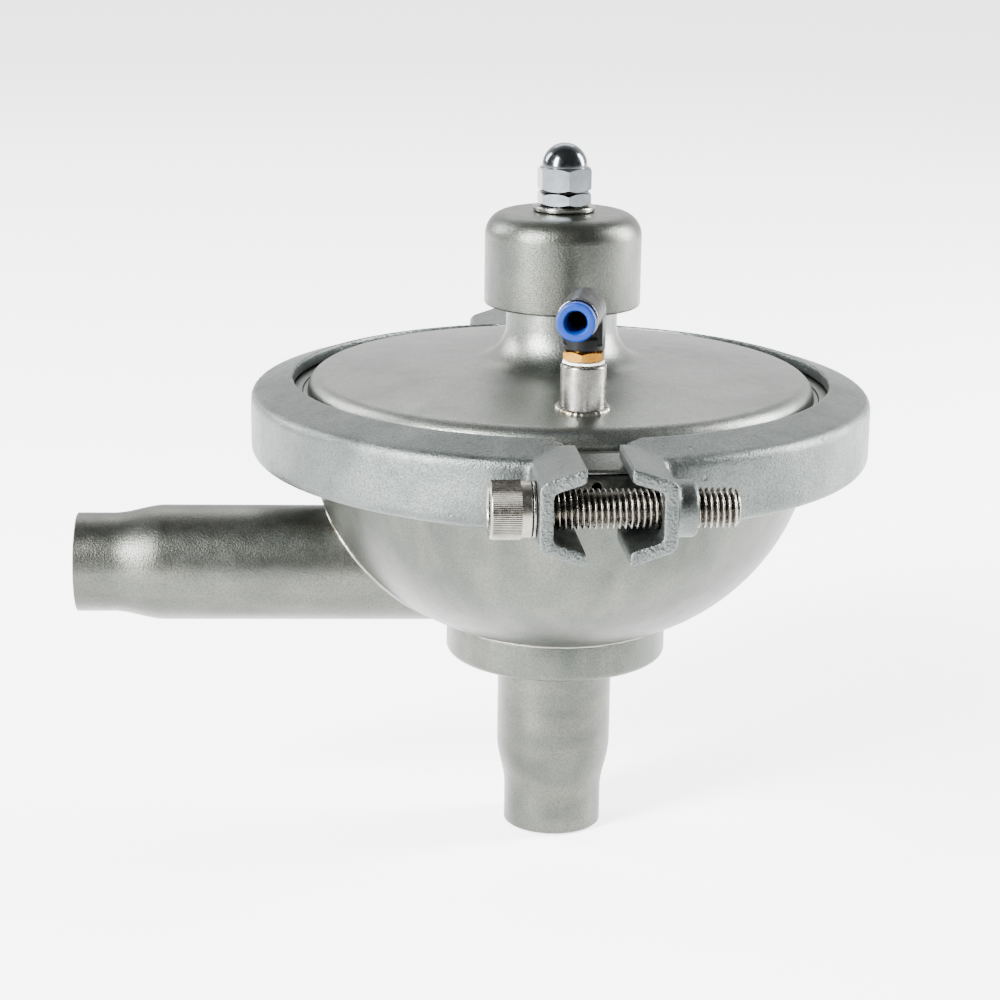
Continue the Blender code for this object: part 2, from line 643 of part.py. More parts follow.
def make_elbow():
    """Black push-in elbow: upright barrel on the stud and a level barrel with its mouth outward."""
    barrel_bottom = BOSS_TOP_Z + 4.6 * MM
    mouth_bore_r = 5.3 * MM
    thing = at_boss(bar("elbow", BARREL_R, barrel_bottom, ELBOW_AXIS_Z, COARSE, black_plastic))
    back = arc((0, 0), BARREL_R, -90, 0, 5)
    level = [(0, ELBOW_REACH)] + [(BARREL_R, ELBOW_REACH)] + list(reversed(back))
    level[-1] = (0, -BARREL_R)
    combine(thing, at_mouth(turned("join_level_barrel", level, None, COARSE)), "UNION")
    upright_bore = bar("cut_upright_bore", 5.0 * MM, barrel_bottom - 5 * MM, BOSS_TOP_Z + 14.0 * MM)
    combine(thing, at_boss(upright_bore), "DIFFERENCE")
    mouth_bore = bar("cut_mouth_bore", mouth_bore_r, 6.0 * MM, ELBOW_REACH + 5 * MM)
    combine(thing, at_mouth(mouth_bore), "DIFFERENCE")
    passage = bar("cut_passage", 2.2 * MM, 0.0, 8.0 * MM, 12)
    combine(thing, at_mouth(passage), "DIFFERENCE")
    riser = bar("cut_riser", 2.0 * MM, BOSS_TOP_Z + 12.0 * MM, ELBOW_AXIS_Z, 12)
    return combine(thing, at_boss(riser), "DIFFERENCE")


def make_release_collar():
    """Blue release collar: a sleeve inside the mouth and a flange to press."""
    bore = 3.3 * MM
    sleeve_r = 4.7 * MM
    flange_r = 5.9 * MM
    face = ELBOW_REACH + 5.0 * MM
    flange_back = ELBOW_REACH + 2.6 * MM
    sleeve_end = ELBOW_REACH - 5.5 * MM
    outline = [(bore + 0.8 * MM, face), (flange_r - 0.6 * MM, face), (flange_r, face - 0.6 * MM)]
    outline += [(flange_r, flange_back), (sleeve_r, flange_back), (sleeve_r, sleeve_end)]
    outline += [(bore, sleeve_end), (bore, face - 1.2 * MM)]
    return at_mouth(turned("release_collar", outline, blue_plastic, COARSE))


# ---------------------------------------------------------------- clamp

def channel_outside(tip):
    """Outside of the clamp's section: (distance from the inner edge, height), tip at distance 0."""
    drop = CLAMP_DEPTH * CLAMP_SLOPE
    top = (0.0, CLAMP_WEB_HALF + drop)
    corner = (CLAMP_DEPTH, CLAMP_WEB_HALF)
    points = [top]
    points += rounded(top, corner, (CLAMP_DEPTH, 0.0), CLAMP_EDGE_R, 4)
    points += [(depth, -height) for depth, height in reversed(points)]
    return [(tip + depth, height) for depth, height in points]


def channel_inside(tip, reach):
    """Inside of the clamp's section, carried past the inner edge by the reach."""
    lean = CLAMP_THICKNESS * math.sqrt(1 + CLAMP_SLOPE ** 2)
    floor = CLAMP_DEPTH - CLAMP_THICKNESS
    edge = CLAMP_WEB_HALF + CLAMP_DEPTH * CLAMP_SLOPE - lean
    mouth_half = edge + reach * CLAMP_SLOPE
    floor_half = edge - floor * CLAMP_SLOPE
    points = [(-reach, mouth_half), (floor, floor_half), (floor, -floor_half), (-reach, -mouth_half)]
    return [(tip + depth, height) for depth, height in points]


def lug_bar(name, section, near, far):
    """A lug's section, given as (distance, height), run along Y from near to far on the -X side."""
    outline = [(-distance, height) for distance, height in section]
    thing = prism(name, outline, -far, -near)
    thing.matrix_world = Matrix.Rotation(math.radians(90), 4, "X") @ thing.matrix_world
    return thing


def corner_cutter(name, side):
    """Rounds the corner where the clamp's inner edge turns out into a lug. Side is -1 front, 1 rear."""
    centre_x = -LUG_TIP_X - LUG_CORNER_R
    centre_y = math.sqrt((CLAMP_INNER_R + LUG_CORNER_R) ** 2 - centre_x ** 2)
    sweep = math.degrees(math.atan2(centre_y, -centre_x))
    outline = [(-LUG_TIP_X + 3 * MM, centre_y)]
    outline += arc((centre_x, centre_y), LUG_CORNER_R, 0, -sweep, 6)
    outline += [(outline[-1][0], 75 * MM), (-LUG_TIP_X + 3 * MM, 75 * MM)]
    outline = [(x, side * y) for x, y in outline]
    return prism(name, outline, -20 * MM, 20 * MM)


def make_clamp_halves():
    """Two like castings, the second turned half a turn. Each has one plain lug and one threaded lug."""
    half = turned("clamp_half_left", channel_outside(CLAMP_INNER_R), cast_steel)
    hollow = turned("cut_ring_hollow", channel_inside(CLAMP_INNER_R, 8 * MM))
    for side, where in ((-1, "front"), (1, "rear")):
        near, far = sorted((side * 92 * MM, side * LUG_REACH))
        combine(half, lug_bar("join_lug_" + where, channel_outside(LUG_TIP_X), near, far), "UNION")
    boss = bar("join_thread_boss", THREAD_BOSS_R, 19.0 * MM, LUG_TIP_X + CLAMP_DEPTH + THREAD_BOSS_LENGTH)
    combine(half, along_x(boss, (0, SCREW_Y, 0)), "UNION")
    combine(half, hollow, "DIFFERENCE")
    for side, where in ((-1, "front"), (1, "rear")):
        near, far = sorted((side * 82 * MM, side * 130 * MM))
        channel = lug_bar("cut_lug_channel_" + where, channel_inside(LUG_TIP_X, 8 * MM), near, far)
        combine(half, channel, "DIFFERENCE")
    combine(half, block("cut_other_half", (-LUG_TIP_X, -0.14, -0.03), (0.12, 0.14, 0.03)), "DIFFERENCE")
    for side, where in ((-1, "front"), (1, "rear")):
        combine(half, corner_cutter("cut_lug_corner_" + where, side), "DIFFERENCE")
    plain = bar("cut_plain_hole", SCREW_R + 0.7 * MM, 10 * MM, 24 * MM)
    combine(half, along_x(plain, (0, -SCREW_Y, 0)), "DIFFERENCE")
    threaded = bar("cut_threaded_hole", SCREW_R + GAP, 10 * MM, 30 * MM)
    combine(half, along_x(threaded, (0, SCREW_Y, 0)), "DIFFERENCE")
    left = baked(half)
    right = add_object("clamp_half_right", left.data)
    lift = Matrix.Translation((0, 0, CLAMP_Z))
    left.matrix_world = lift @ Matrix.Rotation(CLAMP_TURN, 4, "Z")
    right.matrix_world = lift @ Matrix.Rotation(CLAMP_TURN + math.pi, 4, "Z")


def make_clamp_screw(where, turn):
    """Socket-head screw with its washer. The turn is 0 for the front screw, pi for the rear one."""
    washer_face = LUG_TIP_X + CLAMP_DEPTH + GAP
    under_head = washer_face + WASHER_THICKNESS + GAP
    head_top = under_head + SCREW_HEAD_LENGTH
    tip = under_head - SCREW_LENGTH
    outline = [(0, head_top), (SCREW_HEAD_R - 1.0 * MM, head_top), (SCREW_HEAD_R, head_top - 1.0 * MM)]
    outline += [(SCREW_HEAD_R, under_head), (SCREW_R, under_head), (SCREW_R, tip + 1.2 * MM)]
    outline += [(SCREW_R - 1.2 * MM, tip), (0, tip)]
    screw = turned("clamp_screw_" + where, outline, dark_steel, COARSE)
    socket = bar("cut_socket_" + where, across_corners(10 * MM), head_top - 6 * MM, head_top + 3 * MM, 6)
    washer_r = SCREW_HEAD_R - 0.2 * MM
    washer_top = washer_face + WASHER_THICKNESS
    washer = ring("clamp_washer_" + where, SCREW_R + 0.7 * MM, washer_r, washer_face, washer_top, bright_steel)
    frame = Matrix.Translation((0, 0, CLAMP_Z)) @ Matrix.Rotation(CLAMP_TURN + turn, 4, "Z")
    place = frame @ Matrix.Translation((0, -SCREW_Y, 0)) @ Matrix.Rotation(math.radians(-90), 4, "Y")
    for thing in (screw, socket, washer):
        thing.matrix_world = place
    combine(screw, socket, "DIFFERENCE")


# ---------------------------------------------------------------- assembly

make_bowl()
make_seat_housing()
make_seat_ring()
o_ring("seat_oring", 28.95 * MM, 70.2 * MM, 0.95 * MM)
make_inlet_tube()
make_outlet_tube()

make_cover()
ring("guide_bush", STEM_BORE_R, BUSH_BORE_R - GAP, BUSH_SEAT_Z + GAP, BUSH_TOP_Z, white_polymer)
ring("stem_seal", STEM_BORE_R, BUSH_BORE_R - GAP, BUSH_TOP_Z + GAP, STEM_SEAL_TOP_Z, black_rubber)
retainer_bore = STEM_BORE_R + 0.7 * MM
ring("seal_retainer", retainer_bore, BUSH_BORE_R - GAP, STEM_SEAL_TOP_Z + GAP, RETAINER_TOP_Z, bright_steel)
make_bonnet()
ring("top_washer", SPINDLE_R + GAP, TOP_WASHER_R, BONNET_TOP_Z + GAP, TOP_WASHER_TOP_Z, bright_steel)

make_stem()
make_plug()
make_lower_disc()
make_diaphragm()
make_upper_disc()
make_diaphragm_nut()
collar_top = SPRING_BOTTOM_Z - GAP
ring("stem_collar", STEM_BORE_R, SPRING_SEAT_R, collar_top - 2.0 * MM, collar_top, bright_steel)
make_bias_spring()

make_spindle()
ring("spring_seat", SPINDLE_R + GAP, SPRING_SEAT_R, SPRING_TOP_Z + GAP, SPRING_SEAT_TOP_Z, bright_steel)
make_lock_nut()
make_cap_nut()

at_boss(ring("air_boss", 4.9 * MM, BOSS_R, BOSS_BOTTOM_Z, BOSS_TOP_Z, blasted_steel))
at_boss(ring("thread_tape", 5.0 * MM, 6.4 * MM, BOSS_TOP_Z + GAP, BOSS_TOP_Z + 1.0 * MM, white_tape))
make_fitting_stud()
at_boss(ring("swivel_seal", 3.8 * MM, 4.7 * MM, BOSS_TOP_Z + 9.0 * MM, BOSS_TOP_Z + 10.8 * MM, black_rubber))
make_elbow()
at_mouth(ring("tube_seal", 3.1 * MM, 5.0 * MM, 6.3 * MM, 8.3 * MM, black_rubber))
at_mouth(ring("grip_ring", 3.3 * MM, 5.0 * MM, 8.7 * MM, 10.0 * MM, bright_steel))
at_mouth(ring("mouth_ring", 5.0 * MM, 6.25 * MM, ELBOW_REACH + GAP, ELBOW_REACH + 1.1 * MM, bright_steel))
make_release_collar()

make_clamp_halves()
make_clamp_screw("front", 0.0)
make_clamp_screw("rear", math.pi)
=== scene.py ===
# %% [markdown]
# # A sanitary diaphragm valve
# This lesson dresses a finished CAD frame of a stainless constant-pressure valve: a bowl with two
# drawn tubes, a domed cover, a bell bonnet and a cast clamp with two screws. The frame already
# holds every part in its true place, in metres, so each piece here is made where the CAD says.

# %% Load the frame
import math

import bmesh
import bpy
import numpy as np
from mathutils import Matrix, Vector


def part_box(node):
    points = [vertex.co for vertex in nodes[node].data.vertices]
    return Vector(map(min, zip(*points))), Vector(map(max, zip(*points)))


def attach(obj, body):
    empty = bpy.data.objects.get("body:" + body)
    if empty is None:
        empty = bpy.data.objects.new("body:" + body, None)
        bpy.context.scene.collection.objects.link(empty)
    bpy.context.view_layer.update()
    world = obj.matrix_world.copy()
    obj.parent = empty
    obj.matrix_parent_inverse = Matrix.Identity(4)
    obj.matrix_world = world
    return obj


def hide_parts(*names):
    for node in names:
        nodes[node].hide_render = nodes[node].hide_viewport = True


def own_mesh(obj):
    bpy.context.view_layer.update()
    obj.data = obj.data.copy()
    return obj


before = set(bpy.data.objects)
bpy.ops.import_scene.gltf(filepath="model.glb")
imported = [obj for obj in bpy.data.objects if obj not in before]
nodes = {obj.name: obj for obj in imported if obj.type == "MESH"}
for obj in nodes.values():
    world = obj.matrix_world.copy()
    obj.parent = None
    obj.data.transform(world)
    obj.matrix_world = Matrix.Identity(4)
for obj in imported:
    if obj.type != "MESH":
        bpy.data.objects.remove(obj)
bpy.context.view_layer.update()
MM = 0.001


def in_scene(name, data):
    """A new object in the scene."""
    made = bpy.data.objects.new(name, data)
    bpy.context.scene.collection.objects.link(made)
    return made


def shift(x_mm, y_mm, z_mm):
    """A move, in millimetres."""
    return Matrix.Translation((x_mm * MM, y_mm * MM, z_mm * MM))


def spin(degrees, axis):
    """A turn about an axis through the origin, in degrees."""
    return Matrix.Rotation(math.radians(degrees), 4, axis)


# %% [markdown]
# ## The camera
# A long lens a little above the clamp, looking down on the cover. The camera is placed before
# anything else.

# %% Camera
VALVE_TURN = -4.0
CAMERA_PLACE = (0.0, -0.8129, 0.3313)
YAW = math.radians(-1.35)
PITCH = math.radians(15.12)
ROLL = math.radians(0.85)
forward = Vector((math.sin(YAW) * math.cos(PITCH), math.cos(YAW) * math.cos(PITCH), -math.sin(PITCH)))
level = Vector((math.cos(YAW), -math.sin(YAW), 0.0))
upright = level.cross(forward)
right = math.cos(ROLL) * level + math.sin(ROLL) * upright
up = -math.sin(ROLL) * level + math.cos(ROLL) * upright
pose = Matrix.Identity(4)
for column, vector in enumerate((right, up, -forward, Vector(CAMERA_PLACE))):
    for row in range(3):
        pose[row][column] = vector[row]
camera_data = bpy.data.cameras.new("camera")
camera_data.lens = 91.48
camera_data.sensor_width = 36.0
camera = in_scene("camera", camera_data)
camera.matrix_world = spin(VALVE_TURN, "Z") @ pose
bpy.context.scene.camera = camera
print("camera distance", round(camera.location.length, 3), "m")

# %% [markdown]
# ## Node helpers
# Materials and geometry trees are both made of nodes. One small function adds a node with its
# settings and links, so that each tree below reads as a list of what it does.

# %% Colour and node helpers
def colour(hex_code):
    """An sRGB hex colour as linear RGBA."""
    channels = [int(hex_code[index:index + 2], 16) / 255 for index in (1, 3, 5)]
    linear = [c / 12.92 if c <= 0.04045 else ((c + 0.055) / 1.055) ** 2.4 for c in channels]
    return (*linear, 1.0)


def node(tree, kind, links=None, **settings):
    """Adds a node. Links maps an input's name or number to a value or to another node's output."""
    made = tree.nodes.new(kind)
    for key, value in settings.items():
        setattr(made, key, value)
    for key, value in (links or {}).items():
        if isinstance(value, bpy.types.NodeSocket):
            tree.links.new(value, made.inputs[key])
        else:
            made.inputs[key].default_value = value
    return made


def metal_or_plastic(name, metallic, roughness, **sockets):
    """A Principled material. Its constants sit on the shader's own sockets."""
    material = bpy.data.materials.new(name)
    material.use_nodes = True
    shader = material.node_tree.nodes["Principled BSDF"]
    shader.inputs["Metallic"].default_value = metallic
    shader.inputs["Roughness"].default_value = roughness
    for key, value in sockets.items():
        shader.inputs[key.replace("_", " ")].default_value = value
    return material, material.node_tree, shader


def noise(tree, size_mm, detail=3.0, stretch=(1.0, 1.0, 1.0), distortion=0.0):
    """Noise whose blobs are about this many millimetres wide, stretched along an axis if asked."""
    coordinates = node(tree, "ShaderNodeTexCoord")
    scale = [1000.0 / size_mm / value for value in stretch]
    placed = node(tree, "ShaderNodeMapping", {"Vector": coordinates.outputs["Object"], "Scale": scale})
    links = {"Vector": placed.outputs[0], "Scale": 1.0, "Detail": detail, "Distortion": distortion}
    return node(tree, "ShaderNodeTexNoise", links).outputs["Fac"]


def spread(tree, value, low, high, to_low=0.0, to_high=1.0):
    """Stretches a value from one range to another, clamped."""
    links = {"Value": value, "From Min": low, "From Max": high, "To Min": to_low, "To Max": to_high}
    return node(tree, "ShaderNodeMapRange", links).outputs["Result"]


def mixed(tree, share, first, second):
    """A colour between two, given as hex codes or outputs."""
    first = colour(first) if isinstance(first, str) else first
    second = colour(second) if isinstance(second, str) else second
    made = node(tree, "ShaderNodeMix", {0: share, 6: first, 7: second}, data_type="RGBA")
    return made.outputs[2]


def bump(tree, height, depth_mm, strength=1.0, below=None):
    """Relief of this depth in millimetres."""
    links = {"Height": height, "Distance": depth_mm * MM, "Strength": strength}
    if below:
        links["Normal"] = below
    return node(tree, "ShaderNodeBump", links).outputs["Normal"]


def dress(tree, shader, tone, rough, relief):
    """Links a colour, a roughness and a relief into a shader. None leaves the socket alone."""
    for value, socket in ((tone, "Base Color"), (rough, "Roughness"), (relief, "Normal")):
        if value is not None:
            tree.links.new(value, shader.inputs[socket])


print("helpers ready")

# %% [markdown]
# ## Blasted stainless steel
# The body, tubes, cover and bonnet are 1.4404 stainless steel, bead blasted after welding. The
# beads leave a satin skin of tiny dents, so highlights spread into soft bands. Handling and the
# uneven blast leave pale and dark clouds some tens of millimetres wide, with a faint warm tint.

# %% Blasted steel
def blasted_steel(name, pale, dark, streak_axis=2):
    material, tree, shader = metal_or_plastic(name, 1.0, 0.4)
    clouds = noise(tree, 26.0, 4.0, distortion=0.6)
    stretch = [1.0, 1.0, 1.0]
    stretch[streak_axis] = 5.0
    streaks = noise(tree, 9.0, 3.0, stretch)
    tone = mixed(tree, spread(tree, clouds, 0.35, 0.65), dark, pale)
    tone = mixed(tree, spread(tree, streaks, 0.42, 0.75, 0.0, 0.35), tone, "#75736A")
    grain = noise(tree, 0.55, 2.0)
    tone = mixed(tree, spread(tree, grain, 0.4, 0.65, 0.0, 0.5), tone, "#3A3C39")
    rough = spread(tree, noise(tree, 4.0, 3.0), 0.3, 0.7, 0.33, 0.39)
    relief = bump(tree, grain, 0.1)
    dents = bump(tree, noise(tree, 1.6, 2.0), 0.015, below=relief)
    dress(tree, shader, tone, rough, dents)
    return material


# The three copies are one steel in different tones. The cover's copy is paler: painted light on the
# upward dome, which reflects the dark room. The body's and tube's copies are darker: painted shade on
# faces that reflect the bright floor.
body_steel = blasted_steel("bead_blasted_stainless_body", "#565954", "#474A46")
cover_steel = blasted_steel("bead_blasted_stainless_cover", "#787C78", "#646864", 0)
tube_steel = blasted_steel("bead_blasted_stainless_tube", "#575954", "#484A46", 0)
print("blasted steel made")

# %% [markdown]
# ## Cast, machined and other finishes
# The clamp is an investment casting: its skin is coarser, with pits where the mould broke away.
# The nuts are machined and polished, the screws are cold formed and slightly oily, with painted
# shade in the thread roots. The fitting is brass with a black nylon elbow and a blue acetal collar.

# %% Cast steel
def cast_steel():
    material, tree, shader = metal_or_plastic("investment_cast_stainless", 1.0, 0.45)
    clouds = noise(tree, 18.0, 4.0, distortion=0.5)
    tone = mixed(tree, spread(tree, clouds, 0.35, 0.65), "#4E5352", "#626765")
    skin = noise(tree, 0.6, 3.0)
    tone = mixed(tree, spread(tree, skin, 0.35, 0.55, 0.55, 0.0), tone, "#333432")
    raw = node(tree, "ShaderNodeAttribute", attribute_name="raw_face").outputs["Fac"]
    coordinates = node(tree, "ShaderNodeTexCoord").outputs["Object"]
    pits = node(tree, "ShaderNodeTexVoronoi", {"Vector": coordinates, "Scale": 1000.0 / 7.0})
    pit = spread(tree, pits.outputs["Distance"], 0.05, 0.13)
    relief = bump(tree, skin, 0.2)
    coarse = node(tree, "ShaderNodeMath", {0: noise(tree, 1.0, 3.0), 1: raw}, operation="MULTIPLY")
    relief = bump(tree, coarse.outputs[0], 0.45, below=relief)
    relief = bump(tree, pit, 0.25, 0.7, below=relief)
    rough = spread(tree, noise(tree, 3.0, 3.0), 0.3, 0.7, 0.36, 0.46)
    dress(tree, shader, tone, rough, relief)
    return material


clamp_steel = cast_steel()
print("cast steel made")

# %% Machined and formed steel
def smooth_metal(name, pale, dark, low, high, grain_mm, relief_mm=0.006):
    """A metal with a fine finish: two near tones and a small spread of roughness."""
    material, tree, shader = metal_or_plastic(name, 1.0, low)
    tone = mixed(tree, spread(tree, noise(tree, 5.0, 4.0), 0.35, 0.65), dark, pale)
    rough = spread(tree, noise(tree, grain_mm, 3.0), 0.35, 0.7, low, high)
    dress(tree, shader, tone, rough, bump(tree, noise(tree, grain_mm, 2.0), relief_mm))
    return material


polished_steel = smooth_metal("polished_stainless_nut", "#64686B", "#54585B", 0.13, 0.21, 1.2)
washer_steel = smooth_metal("machined_stainless_washer", "#83827D", "#6A6965", 0.2, 0.32, 0.8)
turned_steel = smooth_metal("turned_stainless_inner", "#B9BABA", "#A5A6A6", 0.16, 0.26, 0.8)
brass = smooth_metal("turned_brass", "#94692A", "#7A541D", 0.22, 0.34, 0.8)


def screw_steel():
    material, tree, shader = metal_or_plastic("cold_formed_stainless_screw", 1.0, 0.26)
    tone = mixed(tree, spread(tree, noise(tree, 4.0, 4.0), 0.35, 0.65), "#7A776F", "#8F8C84")
    # Painted shade: the stored groove depth darkens the thread roots toward a near black.
    groove = node(tree, "ShaderNodeAttribute", attribute_name="groove").outputs["Fac"]
    tone = mixed(tree, spread(tree, groove, 0.35, 0.95, 0.0, 0.85), tone, "#2B2823")
    rough = spread(tree, noise(tree, 1.5, 3.0), 0.3, 0.7, 0.2, 0.34)
    dress(tree, shader, tone, rough, bump(tree, noise(tree, 0.7, 2.0), 0.01))
    return material


formed_steel = screw_steel()


def weld_metal():
    material, tree, shader = metal_or_plastic("blasted_weld_bead", 1.0, 0.32)
    tone = mixed(tree, spread(tree, noise(tree, 7.0, 3.0), 0.45, 0.7), "#7F7E79", "#6F6657")
    dress(tree, shader, tone, None, bump(tree, noise(tree, 0.8, 2.0), 0.05))
    return material


weld_steel = weld_metal()
print("smooth metals made")

# %% Plastics, rubber and tape
def soft_finish(name, pale, dark, roughness, grain_mm, relief_mm, **sockets):
    """A plastic or rubber: nearly one colour, with a fine moulded grain."""
    material, tree, shader = metal_or_plastic(name, 0.0, roughness, **sockets)
    tone = mixed(tree, spread(tree, noise(tree, 3.0, 3.0), 0.3, 0.7), dark, pale)
    rough = spread(tree, noise(tree, 2.0, 2.0), 0.3, 0.7, roughness * 0.85, roughness * 1.15)
    dress(tree, shader, tone, rough, bump(tree, noise(tree, grain_mm, 2.0), relief_mm))
    return material


black_nylon = soft_finish("moulded_glass_filled_nylon", "#08090B", "#050506", 0.42, 0.5, 0.012,
                          Specular_IOR_Level=0.12)
blue_acetal = soft_finish("moulded_blue_acetal", "#002A74", "#00256A", 0.36, 0.8, 0.006,
                          Specular_IOR_Level=0.2)
ptfe_tape = soft_finish("wound_ptfe_tape", "#F2F3F0", "#DDDEDA", 0.7, 0.6, 0.08)
black_rubber = soft_finish("moulded_epdm_rubber", "#202021", "#161617", 0.65, 0.6, 0.02)
bush_polymer = soft_finish("turned_bush_polymer", "#E2E0D6", "#D2CFC4", 0.5, 0.7, 0.01)
print("plastics made")

# %% [markdown]
# ## Outlines and turned pieces
# Most of the valve is turned or spun, so its shape follows one rule: an outline swept round an
# axis. A Geometry Nodes tree does that. It takes the outline's points, lays them out on a grid
# whose columns are steps of angle, and merges the seam and the points on the axis.

# %% Outline helpers
def arc(centre, radius, start, end, steps=12):
    """Points on a circle, angles in degrees."""
    angles = np.radians(np.linspace(start, end, steps + 1))
    return [(centre[0] + radius * math.cos(a), centre[1] + radius * math.sin(a)) for a in angles]


def outline(*corners, closed=True):
    """Points in millimetres from corners (radius, height) or (radius, height, fillet)."""
    points = []
    count = len(corners)
    for index, corner in enumerate(corners):
        here = Vector(corner[:2])
        fillet = corner[2] if len(corner) > 2 else 0.0
        at_end = not closed and index in (0, count - 1)
        if fillet == 0.0 or at_end:
            points.append(tuple(here))
            continue
        back = (Vector(corners[index - 1][:2]) - here).normalized()
        on = (Vector(corners[(index + 1) % count][:2]) - here).normalized()
        half = back.angle(on) / 2
        centre = here + (back + on).normalized() * fillet / math.sin(half)
        first = here + back * fillet / math.tan(half) - centre
        last = here + on * fillet / math.tan(half) - centre
        steps = 4 + int(fillet)
        for step in range(steps + 1):
            way = first.lerp(last, step / steps).normalized() * fillet
            points.append(tuple(centre + way))
    return points


print("a filleted square has", len(outline((1, 0, .2), (2, 0, .2), (2, 1, .2), (1, 1, .2))), "points")

# %% Geometry tree helpers
def new_tree(name, *sockets):
    """A geometry tree with named inputs, given as (name, socket type), and a material."""
    tree = bpy.data.node_groups.new(name, "GeometryNodeTree")
    tree.interface.new_socket("Geometry", in_out="OUTPUT", socket_type="NodeSocketGeometry")
    for label, kind in (("Geometry", "Geometry"), *sockets, ("Material", "Material")):
        tree.interface.new_socket(label, in_out="INPUT", socket_type="NodeSocket" + kind)
    return tree, node(tree, "NodeGroupInput").outputs


def geo(tree, kind, links=None, **settings):
    """Adds a geometry node, named without its prefix."""
    return node(tree, "GeometryNode" + kind, links, **settings)


def end_tree(tree, given, geometry):
    """Every tree ends in real geometry with its material."""
    real = geo(tree, "RealizeInstances", {"Geometry": geometry})
    links = {"Geometry": real.outputs[0], "Material": given["Material"]}
    done = geo(tree, "SetMaterial", links)
    node(tree, "NodeGroupOutput", {"Geometry": done.outputs[0]})


def evaluated_mesh(thing, *helpers):
    """The mesh that an object's modifiers make. The object and its helpers are then removed."""
    graph = bpy.context.evaluated_depsgraph_get()
    made = bpy.data.meshes.new_from_object(thing.evaluated_get(graph))
    for used in (thing, *helpers):
        bpy.data.objects.remove(used)
    return made


def run_tree(tree, mesh, **values):
    """Runs a tree on a mesh and returns the plain mesh that it makes."""
    carrier = in_scene("carrier", mesh)
    modifier = carrier.modifiers.new("nodes", "NODES")
    modifier.node_group = tree
    for item in tree.interface.items_tree:
        if item.in_out == "INPUT" and item.name.replace(" ", "_") in values:
            modifier[item.identifier] = values[item.name.replace(" ", "_")]
    return evaluated_mesh(carrier)


def calculator(tree):
    """A function that adds an arithmetic step to this tree."""
    def step(operation, *values):
        return node(tree, "ShaderNodeMath", dict(enumerate(values)), operation=operation).outputs[0]
    return step


def axes(tree, vector=None):
    """The three numbers of a vector, or of each point's own position."""
    vector = vector or geo(tree, "InputPosition").outputs[0]
    parts = node(tree, "ShaderNodeSeparateXYZ", {0: vector}).outputs
    return parts["X"], parts["Y"], parts["Z"]


print("tree helpers ready")

# %% The turning tree
SEAM = 0.000002
DOUBLES = 0.000001
lathe_tree, given = new_tree("turned_outline", ("Points", "Int"), ("Segments", "Int"))
calc = calculator(lathe_tree)
columns = calc("ADD", given["Segments"], 1.0)
links = {"Vertices X": given["Points"], "Vertices Y": columns}
grid = geo(lathe_tree, "MeshGrid", links)
index = geo(lathe_tree, "InputIndex").outputs[0]
profile_index = calc("FLOOR", calc("DIVIDE", index, columns))
share = calc("DIVIDE", calc("FLOORED_MODULO", index, columns), given["Segments"])
angle = calc("MULTIPLY", share, 2 * math.pi)
here = geo(lathe_tree, "InputPosition").outputs[0]
links = {"Geometry": given["Geometry"], "Value": here, "Index": profile_index}
sample = geo(lathe_tree, "SampleIndex", links, data_type="FLOAT_VECTOR")
radius, _, height = axes(lathe_tree, sample.outputs["Value"])
x = calc("MULTIPLY", radius, calc("COSINE", angle))
y = calc("MULTIPLY", radius, calc("SINE", angle))
place = node(lathe_tree, "ShaderNodeCombineXYZ", {"X": x, "Y": y, "Z": height})
links = {"Geometry": grid.outputs["Mesh"], "Position": place.outputs[0]}
spun = geo(lathe_tree, "SetPosition", links)
links = {"Geometry": spun.outputs[0], "Distance": SEAM}
sewn = geo(lathe_tree, "MergeByDistance", links)
end_tree(lathe_tree, given, sewn.outputs[0])
print("turning tree has", len(lathe_tree.nodes), "nodes")

# %% Turned meshes and finished pieces
def turned(points, material, segments=128, closed=True):
    """A mesh turned round Z from outline points in millimetres."""
    points = list(points) + [points[0]] if closed else list(points)
    wire = bpy.data.meshes.new("outline")
    wire.from_pydata([(radius * MM, 0.0, height * MM) for radius, height in points], [], [])
    mesh = run_tree(lathe_tree, wire, Points=len(points), Segments=segments, Material=material)
    return facing_out(mesh)


def facing_out(mesh):
    """Merges doubles and turns every face outward."""
    shape = bmesh.new()
    shape.from_mesh(mesh)
    bmesh.ops.remove_doubles(shape, verts=shape.verts, dist=DOUBLES)
    bmesh.ops.dissolve_degenerate(shape, edges=shape.edges, dist=DOUBLES)
    bmesh.ops.recalc_face_normals(shape, faces=shape.faces)
    shape.to_mesh(mesh)
    shape.free()
    return mesh


def finished(name, mesh, material, body, slot, *stands_for, sharp=32.0, place=None):
    """A visible piece: its place goes into its mesh, and it rides on its body."""
    if place is not None:
        mesh.transform(place)
    mesh.name = name
    mesh.materials.clear()
    mesh.materials.append(material)
    mesh.polygons.foreach_set("use_smooth", [True] * len(mesh.polygons))
    mesh.set_sharp_from_angle(angle=math.radians(sharp))
    piece = in_scene(name, mesh)
    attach(piece, body)
    if stands_for:
        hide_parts(*stands_for)
    mesh.calc_loop_triangles()
    print(name, len(mesh.loop_triangles), "triangles")
    return piece


def carved(mesh, *tools):
    """Cuts other meshes from a mesh. A tool given as (mesh, "UNION") is joined on instead."""
    for tool in tools:
        tool, operation = tool if isinstance(tool, tuple) else (tool, "DIFFERENCE")
        base = in_scene("base", mesh)
        helper = in_scene("tool", tool)
        step = base.modifiers.new("cut", "BOOLEAN")
        step.operation = operation
        step.solver = "EXACT"
        step.object = helper
        mesh = facing_out(evaluated_mesh(base, helper))
    return mesh


def drilled(radius, low, high, segments=48):
    """A plain round bar for cutting holes."""
    return turned([(0, low), (radius, low), (radius, high), (0, high)], None, segments, closed=False)


print("piece helpers ready")

# %% [markdown]
# ## The bowl and the hub
# The bowl is pressed from 3 mm sheet, one long arc from the flange to the hub. Its flange carries
# the leak hole, which weeps if the diaphragm fails. The hub below holds the seat.

